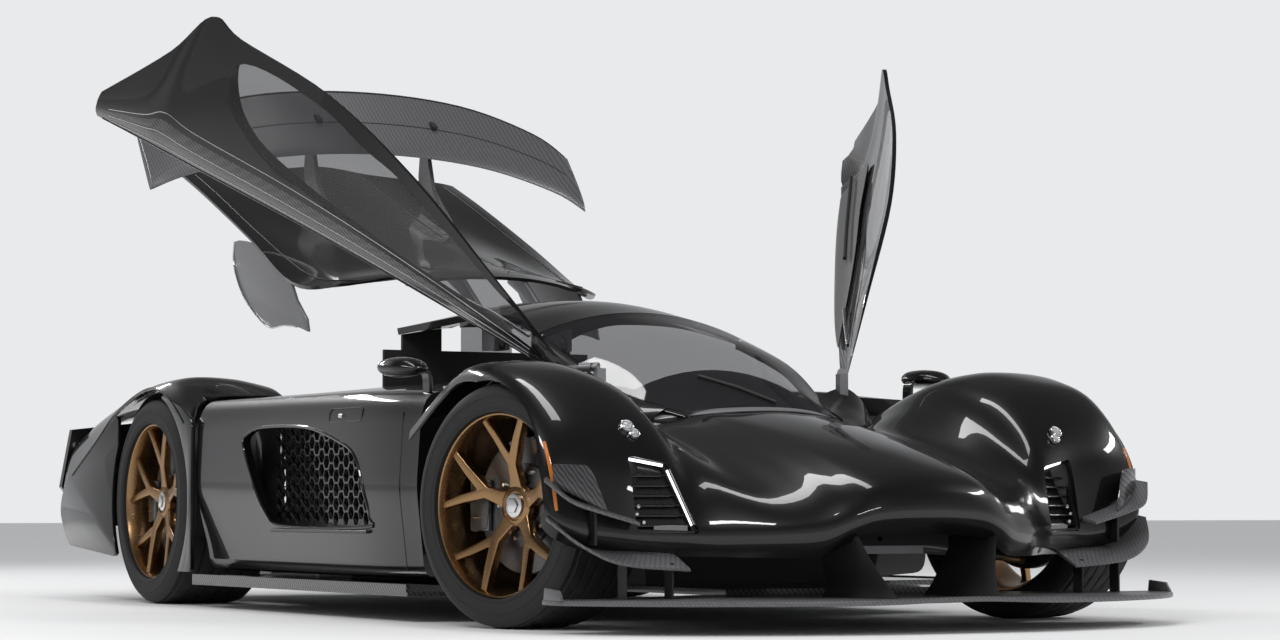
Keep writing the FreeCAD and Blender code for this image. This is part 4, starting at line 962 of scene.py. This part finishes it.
def tyre(radius, width, rim_r):
    inner = WHEEL_OUTER_Y - width
    middle = rim_r + 0.5 * (radius - rim_r)
    wall = ((rim_r + 0.6, 3), (rim_r + 5, 7), (rim_r + 9, 7.4), (rim_r + 10, 9), (rim_r + 12, 9),
            (rim_r + 13, 7.6), (middle, 8), (middle + 1, 9.4), (middle + 3, 9.4), (middle + 4, 7.8),
            (radius - 30, 6), (radius - 15, -2), (radius - 5, -13))
    # columns: radius, y, number of the tread's rib or 0 beside it
    profile = [(r, WHEEL_OUTER_Y + out, 0) for r, out in wall]
    span = width - 2 * TREAD_EDGE
    gap = 4.0
    for k in range(TREAD_RIBS):
        y1 = WHEEL_OUTER_Y - TREAD_EDGE - span * k / TREAD_RIBS
        y0 = y1 - span / TREAD_RIBS
        profile += [(radius - 7, y1 - gap * 0.4, 0), (radius - 0.5, y1 - gap, k + 1),
                    (radius, (y0 + y1) / 2, k + 1), (radius - 0.5, y0 + gap, k + 1)]
    profile += [(radius - 7, inner + TREAD_EDGE, 0)]
    profile += [(r, inner - out, 0) for r, out in wall[::-1]]
    rows = []
    for i, (c, s) in enumerate(circle(144)):
        row = []
        for r, y, rib in profile:
            # cross grooves, slanted over the tread
            groove = 4.0 if rib not in (0, MIDDLE_RIB) and (i + int(y / 22)) % 6 == 0 else 0.0
            row.append(((r - groove) * s, y, (r - groove) * c))
        rows.append(row)
    return reworked(lofted("tyre", rows, RUBBER, True, caps=False), turned_out)


def caliper(depth):
    # cover over the caliper's cast body
    face = LIP_Y - depth - DISC_BACK + DISC_T + 17
    outline = [(-223 * math.cos(a), 223 * math.sin(a)) for a in (-0.36, -0.2, 0, 0.2, 0.36)]
    outline += [(-148, 66), (-140, 0), (-148, -66)]
    front = rounded(prism("caliper", outline, "y", face - 14, face, CALIPER), 4)
    bands = [rod([(-172, face, z), (-205, face, z)], 4, BRIGHT, sides=8) for z in (-34, 34)]
    return joined("caliper", [front] + bands)


def wheel_place(axle, side, steer):
    place = Matrix.Translation((axle.x, 0, axle.z))
    if side < 0:
        place = Matrix.Scale(-1, 4, (0, 1, 0)) @ place
    if steer:
        pivot = Vector((axle.x, side * axle.y, axle.z))
        place = (Matrix.Translation(pivot) @ Matrix.Rotation(steer, 4, "Z")
                 @ Matrix.Translation(-pivot) @ place)
    return place


def wheels():
    for end, tyre_r, width, rim_r, depth, axle in WHEELS:
        steer = STEER_REST if end == "front" else 0.0
        for label, side in (("left", 1), ("right", -1)):
            where = end + "_" + label
            carrier = "steer_" + label if end == "front" else "root"
            for piece, body, slot, node in (
                    (rim(rim_r, width - 20, depth), "wheel_" + where, "bronze", "rim_" + where),
                    (tyre(tyre_r, width, rim_r), "wheel_" + where, "tyre_black", "tyre_" + where),
                    (caliper(depth), carrier, "cast_alloy", None)):
                piece.name = node + "_skin" if node else "caliper_" + where
                moved(piece, wheel_place(axle, side, steer))
                if side < 0:
                    piece.data.flip_normals()
                finished(piece, body, [node] if node else ())


wheels()


# splitter, dive planes and nose fins

def splitter():
    front = smooth_line(((2345, 0), (2342, 150), (2330, 300), (2250, 560), (2130, 800), (1990, 960),
                         (1880, 1028)), 6)
    half = front + [(1790, 1030), (1800, 900), (1560, 420)]
    plate = prism("plate", half + [(x, -y) for x, y in half[:0:-1]], "z", 77.4, 91.4, WING_SATIN)
    rounded(cut(plate, front_wells()), 3)
    # rise below the nose
    for vert in plate.data.vertices:
        x, y = vert.co.x / MM, vert.co.y / MM
        vert.co.z += 9 * MM * math.exp(-(y / 230) ** 2) * min(1, max(0, (x - 1900) / 250))
    pieces = [plate]
    for side in (1, -1):
        y0, y1 = sorted((side * 1018, side * 1028))
        fence = prism("fence", [(1795, 90), (1900, 90), (1880, 118), (1800, 124)], "y", y0, y1, WING_SATIN)
        pieces.append(rounded(fence, 2))
    finished(joined("splitter_blade", pieces), "root", ["splitter"])


splitter()

# dive planes: inner and outer point of each row; fence: its two ends (x, y), then shares of the way and z
UPPER_BLADE = (((1700, 955, 432), (1792, 1024, 418)), ((1725, 925, 378), (1850, 972, 361)),
               ((1745, 868, 350), (1868, 896, 333)), ((1760, 762, 318), (1872, 770, 299)))
LOWER_BLADE = (((1700, 955, 330), (1790, 1018, 313)), ((1715, 925, 268), (1880, 955, 242)),
               ((1740, 850, 236), (1912, 850, 192)), ((1800, 650, 230), (1935, 648, 174)))
FENCE_ENDS = ((1778, 990), (1856, 862))
FENCE = ((0.0, 400), (0.5, 366), (1.0, 330), (0.9, 372), (0.74, 430), (0.66, 450), (0.58, 457), (0.0, 459))


def dive_planes():
    pieces = []
    thin = Vector((0, 0, 8))
    for table in (UPPER_BLADE, LOWER_BLADE):
        rows = []
        for row in smooth_line([a + b for a, b in table], 8):
            inner, outer = Vector(row[:3]), Vector(row[3:])
            crown = inner.lerp(outer, 0.5) + Vector((0, 0, 3))
            rows.append([tuple(p) for p in (inner, crown, outer, outer - thin, inner - thin)])
        pieces.append(rounded(cut(tunnel(rows, "blade", WING_SATIN), front_wells((1,))), 2))
    (xa, ya), (xb, yb) = FENCE_ENDS
    line = [(xa + (xb - xa) * share, ya + (yb - ya) * share, z) for share, z in FENCE]
    normal = Vector((ya - yb, xb - xa, 0)).normalized()
    pieces.append(rounded(tunnel([shifted(line, normal, -off) for off in (0, 6)], "fence", WEAVE), 1.5))
    # stays: x, y, low z, high z, width, depth
    for x, y, low, high, width, depth in ((1890, 690, 92, 190, 44, 6), (1880, 830, 92, 190, 44, 6),
                                          (1810, 884, 238, 330, 38, 8)):
        pieces.append(ribbon([(x, y, low), (x, y, high)], width, depth, (1, 0, 0), SATIN))
    pair(joined("dive_planes_left", pieces), (), ["dive_planes"])


dive_planes()


def nose_fins():
    # columns: z, rear x, front x, middle y, half the thickness
    rows = []
    for z, rear, front, y, half in smooth_line(((90, 1880, 2240, 170, 22), (122, 1890, 2205, 178, 9),
                                                (190, 1910, 2160, 204, 7.5), (262, 1925, 2128, 230, 7)), 6):
        side = [(rear, half), (front - 60, half), (front - 8, 3)]
        rows.append([(x, y - out, z) for x, out in side] + [(front, y, z)]
                    + [(x, y + out, z) for x, out in side[::-1]])
    pair(tunnel(rows, "nose_fin_left", SATIN), ["nose_uprights"])


nose_fins()


# lamps on the front

def front_lamps():
    top = ((648, 457), (672, 462), (705, 469), (745, 477))
    side = ((638, 444), (628, 404), (614, 350), (600, 292))
    for line, name, across in ((top, "top", (0.3, -0.2, 0.93)), (side, "side", (0.3, -0.95, 0.1))):
        points = on_lamp(smooth_line(line, 3), -1)
        pair(ribbon(points, 8, 5, across, WHITE_LIGHT, "lamp_strip_%s_left" % name))
    # slats between the strips, a pale plate below and small emitters
    pieces = []
    for i in range(6):
        z = 292 + i * 27.5
        inner = 606 + (z - 268) * 48 / 194
        points = on_lamp([(y, z) for y in (inner + 8, (inner + 742) / 2, 742)], -12)
        pieces.append(ribbon(points, 16, 3, (1, 0, -0.25), LAMP_BLACK))
    plate = on_lamp([(y, 282) for y in (612, 660, 700)], -5)
    pieces.append(ribbon(plate, [18, 20, 16], 3, (0, 0, 1), SKIRT_GREY))
    for spot in ((722, 300), (736, 322), (728, 344)):
        pieces.append(rod(on_lamp([spot], -16) + on_lamp([spot], -6), 5, BRIGHT))
    pieces.append(rod(on_lamp(softened(LAMP, 14), -1), 3, GLOSS, sides=8, closed=True))
    pair(joined("lamp_fittings_left", pieces))
    # projectors let into the fender above the lamp
    turn = Vector((0.78, 0.1, 0.62)).normalized().to_track_quat("Y", "Z").to_matrix().to_4x4()
    pieces = []
    for place, size in (((1728, 733, 569), 15), ((1745, 718, 548), 11)):
        profile = [(size + 5, -8), (size + 5, 1), (size + 2, 3), (size, 1), (size - 1, -3)]
        bulge = [(0.3, 5), (size * 0.5, 3.5), (size * 0.85, 0), (size - 1, -4)]
        for piece in (revolved("ring", profile, BRIGHT, 36), revolved("eye", bulge, LENS_GREY, 36, False)):
            pieces.append(moved(piece, Matrix.Translation(Vector(place) * MM) @ turn))
    pair(joined("projectors_left", pieces))
    # amber markers at the front arch
    line = ((1779, 979, 332), (1774, 983, 380), (1762, 986, 430), (1745, 988, 478), (1722, 989, 520))
    pair(ribbon(smooth_line(line, 4), 10, 8, (-0.5, 0.87, 0), AMBER, "marker_left"))


front_lamps()


def cabin_front():
    # pale cowl below the screen
    rows = []
    for share in range(25):
        y = -330 + 660 * share / 24
        bend = (y / 330) ** 2
        rows.append([(1262 - 150 * bend + step, y, 642 - 28 * bend - step * 0.22 + lift)
                     for step, lift in ((0, 2), (18, 5), (44, 5), (56, 2))])
    finished(thick(grid_piece("screen_cowl", rows, SKIRT_GREY, (1200, 0, 0)), 3), "root")
    # panels from the screen's foot to the clam's rear edge, ahead of the door hinges
    table = ((1165, (285, 640), (300, 634), (318, 624), (335, 612), (345, 600)),
             (1110, (305, 652), (340, 652), (380, 640), (420, 620), (448, 596)),
             (1050, (322, 668), (380, 678), (430, 668), (480, 640), (512, 604)),
             (994, (340, 684), (400, 708), (455, 718), (515, 680), (554, 610)))
    rows = smooth_grid([[(x, y, z) for y, z in line] for x, *line in table], 5, 4)
    pair(thick(grid_piece("hinge_cowl_left", rows, GLOSS, (1050, 300, 0)), 4))


cabin_front()


def scuttle():
    # hood over the dash, under the screen
    rows = []
    for x, half, side, crown in smooth_line(WINDSCREEN[:3], 6)[2:]:
        fall = 30 + max(0, 960 - x) * 0.85
        rows.append([(x, y * 0.94, z - fall) for y, z in crown_line(half, side, crown, 13)])
    finished(thick(grid_piece("dash_hood", rows, TRIM, (1000, 0, 300)), 6), "root")
    pane = rounded(box(-652, -100, 886, -647, 100, 984, "rear_window", GLASS), 1)
    finished(pane, "root")
    # frame and bars of the tail vent
    mouth = ((480, 620), (560, 420), (480, 330), (-480, 330), (-560, 420), (-480, 620))
    edge = [(-2331, y, z) for y, z in softened(mouth, 30)]
    finished(rod(edge, 6, GLOSS, "tail_vent_frame", 10, True), "root")
    bars = []
    for z in range(352, 610, 36):
        reach = 470 + 70 * (1 - abs(z - 430) / 190)
        bars.append(rod([(-2312, -reach, z), (-2312, reach, z)], 3, SATIN, sides=8))
    finished(joined("tail_vent_bars", bars), "root")


scuttle()


def mirrors():
    # teardrop pods on a flat stalk, with their glass; columns: x, y, z, half-width, half-height
    stations = ((818, 958, 757, 6, 5), (806, 955, 759, 26, 13), (774, 951, 763, 56, 25),
                (725, 948, 765, 70, 30), (690, 948, 765, 72, 31), (674, 948, 765, 69, 29))
    ring = circle(28)
    rows = [[(x, y + wide * c * (1 - 0.08 * s), z + high * s) for c, s in ring]
            for x, y, z, wide, high in smooth_line(stations, 3)]
    glass = [[(x, 948 + 62 * c, 765 + 25 * s) for c, s in ring] for x in (676, 672)]
    stalk = smooth_line(((722, 871, 690), (722, 873, 735), (722, 884, 753), (722, 925, 760)), 4)
    edge = [(674.5, 948 + 69 * c, 765 + 29 * s) for c, s in ring]
    pieces = [tunnel(rows, "pod", GLOSS), tunnel(glass, "glass", BRIGHT),
              ribbon(stalk, 48, 12, (1, 0, 0), GLOSS), rod(edge, 1.5, BRIGHT, sides=6, closed=True)]
    pair(joined("mirror_left", pieces), ["mirrors"])


mirrors()


# cabin: tandem seats with puffed pads and belts

def puffed(piece, cap=9.0, frames=14):
    # fills a pad by a short cloth run under inner pressure, by no more than the cap
    before = [v.co.copy() for v in piece.data.vertices]
    cloth = piece.modifiers.new("fill", "CLOTH")
    cloth.settings.use_pressure = True
    cloth.settings.uniform_pressure_force = 4.0
    cloth.settings.effector_weights.gravity = 0.0
    cloth.settings.mass = 0.3
    cloth.point_cache.frame_start = 1
    cloth.point_cache.frame_end = frames
    scene = bpy.context.scene
    for step in range(1, frames + 1):
        scene.frame_set(step)
    baked(piece)
    scene.frame_set(1)
    for vert, start in zip(piece.data.vertices, before):
        shift = vert.co - start
        if shift.length > cap * MM:
            vert.co = start + shift.normalized() * cap * MM
    return piece


def pad(name, place, size, tilt, channels):
    # crowned pad with sewn channels: place of its middle, size (long, wide, thick), tilt about Y
    a, b, c = (v / 2 for v in size)
    piece = box(-a, -b, -c, a, b, c, name, SEAT_LEATHER)
    baked(with_modifier(piece, "REMESH", mode="VOXEL", voxel_size=9 * MM))
    baked(with_modifier(piece, "SMOOTH", iterations=12))
    piece.data.materials.clear()
    piece.data.materials.append(SEAT_LEATHER)
    puffed(piece)
    for vert in piece.data.vertices:
        share = vert.co.x / MM / size[0] + 0.5
        if vert.co.z > 0:
            vert.co.z -= 5 * MM * max(0.0, math.cos(2 * math.pi * share * channels)) ** 10
    moved(piece, Matrix.Translation(Vector(place) * MM) @ Matrix.Rotation(math.radians(tilt), 4, "Y"))
    finished(piece, "root", angle=60)


def seats():
    for name, x in (("front", 330), ("rear", -168)):
        back = ((x - 400, 640), (x - 200, 151))
        side = softened(((x + 240, 195), (x + 220, 300), (x - 60, 320), (x - 250, 620)) + back, 45)
        base = softened(((x + 260, 205), (x + 250, 230), (x - 132, 196), (x - 322, 652)) + back, 30)
        shell = [rounded(prism("side", side, "y", y, y + 30, WEAVE), 8, 3) for y in (200, -230)]
        shell.append(rounded(prism("shell", base, "y", -201, 201, WEAVE), 6))
        finished(joined("seat_shell_" + name, shell), "root", ["seat_" + name])
        pad("seat_base_" + name, (x + 60, 0, 244), (330, 372, 34), -5, 4)
        pad("seat_back_" + name, (x - 205, 0, 440), (400, 372, 34), 67, 5)
        pad("seat_head_" + name, (x - 310, 0, 672), (90, 230, 42), 67, 1)
        belt = [(x - 318, 62, 640), (x - 240, 66, 560), (x - 150, 70, 380), (x - 40, 60, 290)]
        pair(ribbon(smooth_line(belt, 5), 46, 3, (0, 1, 0), SKIRT_GREY, "belt_%s_left" % name))


seats()


def engine_bay():
    # covers, bolts, pipes and braces on and about the engine block
    pieces = []
    low, high = (Vector(corner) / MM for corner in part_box("engine_block"))
    rear, front = low.x, high.x
    for side in (1, -1):
        cover = [(side * y, z) for y, z in ((150, 548), (228, 532), (236, 520), (236, 508), (146, 536))]
        pieces.append(rounded(prism("cam_cover", cover, "x", rear + 30, front - 60, SATIN), 4))
        for i in range(7):
            x = rear + 50 + (front - rear - 130) * i / 6
            pieces.append(rod([(x, side * 190, 540), (x, side * 191, 549)], 5, BRIGHT, sides=6))
        # hose, pipe and brace: points (x, y, z), radius, material, sides
        for line, radius, material, sides in (
                (((rear + 20, 250, 480), ((rear + front) / 2, 275, 470), (front - 40, 300, 400),
                  (front - 20, 330, 330)), 16, RUBBER, 16),
                (((front - 60, 60, 640), (rear + 60, 120, 640), (rear - 60, 190, 590)), 6, BRIGHT, 10),
                (((rear + 30, 40, 655), (front - 60, 300, 660)), 11, WEAVE, 14)):
            line = [(x, side * y, z) for x, y, z in line]
            pieces.append(rod(smooth_line(line, 6) if len(line) > 2 else line, radius, material, sides=sides))
    # bands round the plenum
    for i in range(9):
        band = revolved("band", [(64, 0), (68, 0), (68, 10), (64, 10)], BRIGHT if i % 4 == 0 else ALLOY, 36)
        place = Matrix.Translation(((rear + 60 + (front - rear - 150) * i / 8) * MM, 0, 0.578))
        pieces.append(moved(band, place @ Matrix.Rotation(-math.pi / 2, 4, "Z")))
    finished(joined("engine_dressing", pieces), "root")
    tips = []
    for side in (1, -1):
        tip = revolved("tip", [(43, 0), (46, 4), (47, -70), (43, -70)], BRIGHT, 48)
        place = Matrix.Translation((-2.262, side * 0.12, 0.585))
        tips.append(moved(tip, place @ Matrix.Rotation(math.pi / 2, 4, "Z")))
    finished(joined("exhaust_tips", tips), "root")


engine_bay()


def arch_liners():
    front = [(math.sqrt(BALL_R ** 2 - (y - KINGPIN_Y) ** 2) + 1.5, y) for y in range(640, 960, 20)]
    rear = [(REAR_TYRE_R + 22, y) for y in range(650, 1000, 25)]
    for end, axle, centre_z, line in (("front", FRONT_AXLE, FRONT_TYRE_R, front),
                                      ("rear", REAR_AXLE, REAR_TYRE_R, rear)):
        x = axle.x / MM
        for side, label in ((1, "left"), (-1, "right")):
            rows = []
            for k in range(33):
                a = math.radians(-18 + 216 * k / 32)
                rows.append([(x + r * math.cos(a), side * y, centre_z + r * math.sin(a)) for r, y in line])
            name = "arch_liner_%s_%s" % (end, label)
            liner = thick(grid_piece(name, rows, SATIN, (x, side * 800, centre_z)), 3, 1.0)
            finished(liner, "root")


arch_liners()


# lights, floor and camera

def placed(name, data, place, turn):
    thing = bpy.data.objects.new(name, data)
    thing.location = place
    thing.rotation_euler = turn
    bpy.context.scene.collection.objects.link(thing)
    return thing


def studio():
    world = bpy.data.worlds.new("studio")
    bpy.context.scene.world = world
    world.use_nodes = True
    tree = world.node_tree
    # pale to the camera, even as light, and darker overhead in reflections
    height = made(tree, "SeparateXYZ", "Z", {0: made(tree, "TexCoord", "Generated", {})})
    rays = made(tree, "LightPath", 0, {}).node.outputs
    level = 0.62
    for ray, strength in (("Is Glossy Ray", ramp(tree, height, 0.6, 0.08, 0.5)), ("Is Camera Ray", 0.84)):
        mix = {"Factor": rays[ray], "A": level, "B": strength}
        level = made(tree, "Mix", "Result", mix, data_type="FLOAT")
    set_inputs(tree, tree.nodes["Background"], {"Strength": level, "Color": (0.97, 0.98, 1.0, 1)})
    # area lights: name, place, target, width, height, power
    for name, place, target, width, height, power in (
            ("key", (4.0, -5.5, 6.5), (0.4, 0, 0.5), 4.5, 0.6, 230),
            ("fill", (2.5, 6.5, 4.5), (0.0, 0, 0.6), 4.0, 0.5, 120),
            ("back", (-7.0, -2.0, 4.5), (-0.8, 0, 0.8), 5.0, 0.5, 160),
            ("front_strip", (8.5, -0.5, 3.6), (1.4, 0, 0.5), 3.5, 0.2, 60),
            ("overhead", (0.2, 0.0, 6.5), (0.2, 0, 0), 5.5, 0.9, 110)):
        light = bpy.data.lights.new(name, "AREA")
        light.shape = "RECTANGLE"
        light.size, light.size_y = width, height
        light.energy = power
        way = Vector(target) - Vector(place)
        placed(name, light, place, way.to_track_quat("-Z", "Y").to_euler())
    corners = [(x * FLOOR_HALF, y * FLOOR_HALF, 0) for x, y in ((-1, -1), (1, -1), (1, 1), (-1, 1))]
    pale = look("floor_paint", (0.8, 0.8, 0.8), (0.0, 0.6, 0.0, 0.03), (noise, 1.5), (0.55, 0.7))
    new_piece("floor", corners, [(0, 1, 2, 3)], pale)


def camera():
    data = bpy.data.cameras.new("camera")
    data.lens = CAMERA_LENS
    data.sensor_width = 36.0
    data.clip_end = 300.0
    bpy.context.scene.camera = placed("camera", data, CAMERA_AT, CAMERA_TURN)


studio()
camera()
bpy.context.scene.view_settings.view_transform = "Standard"
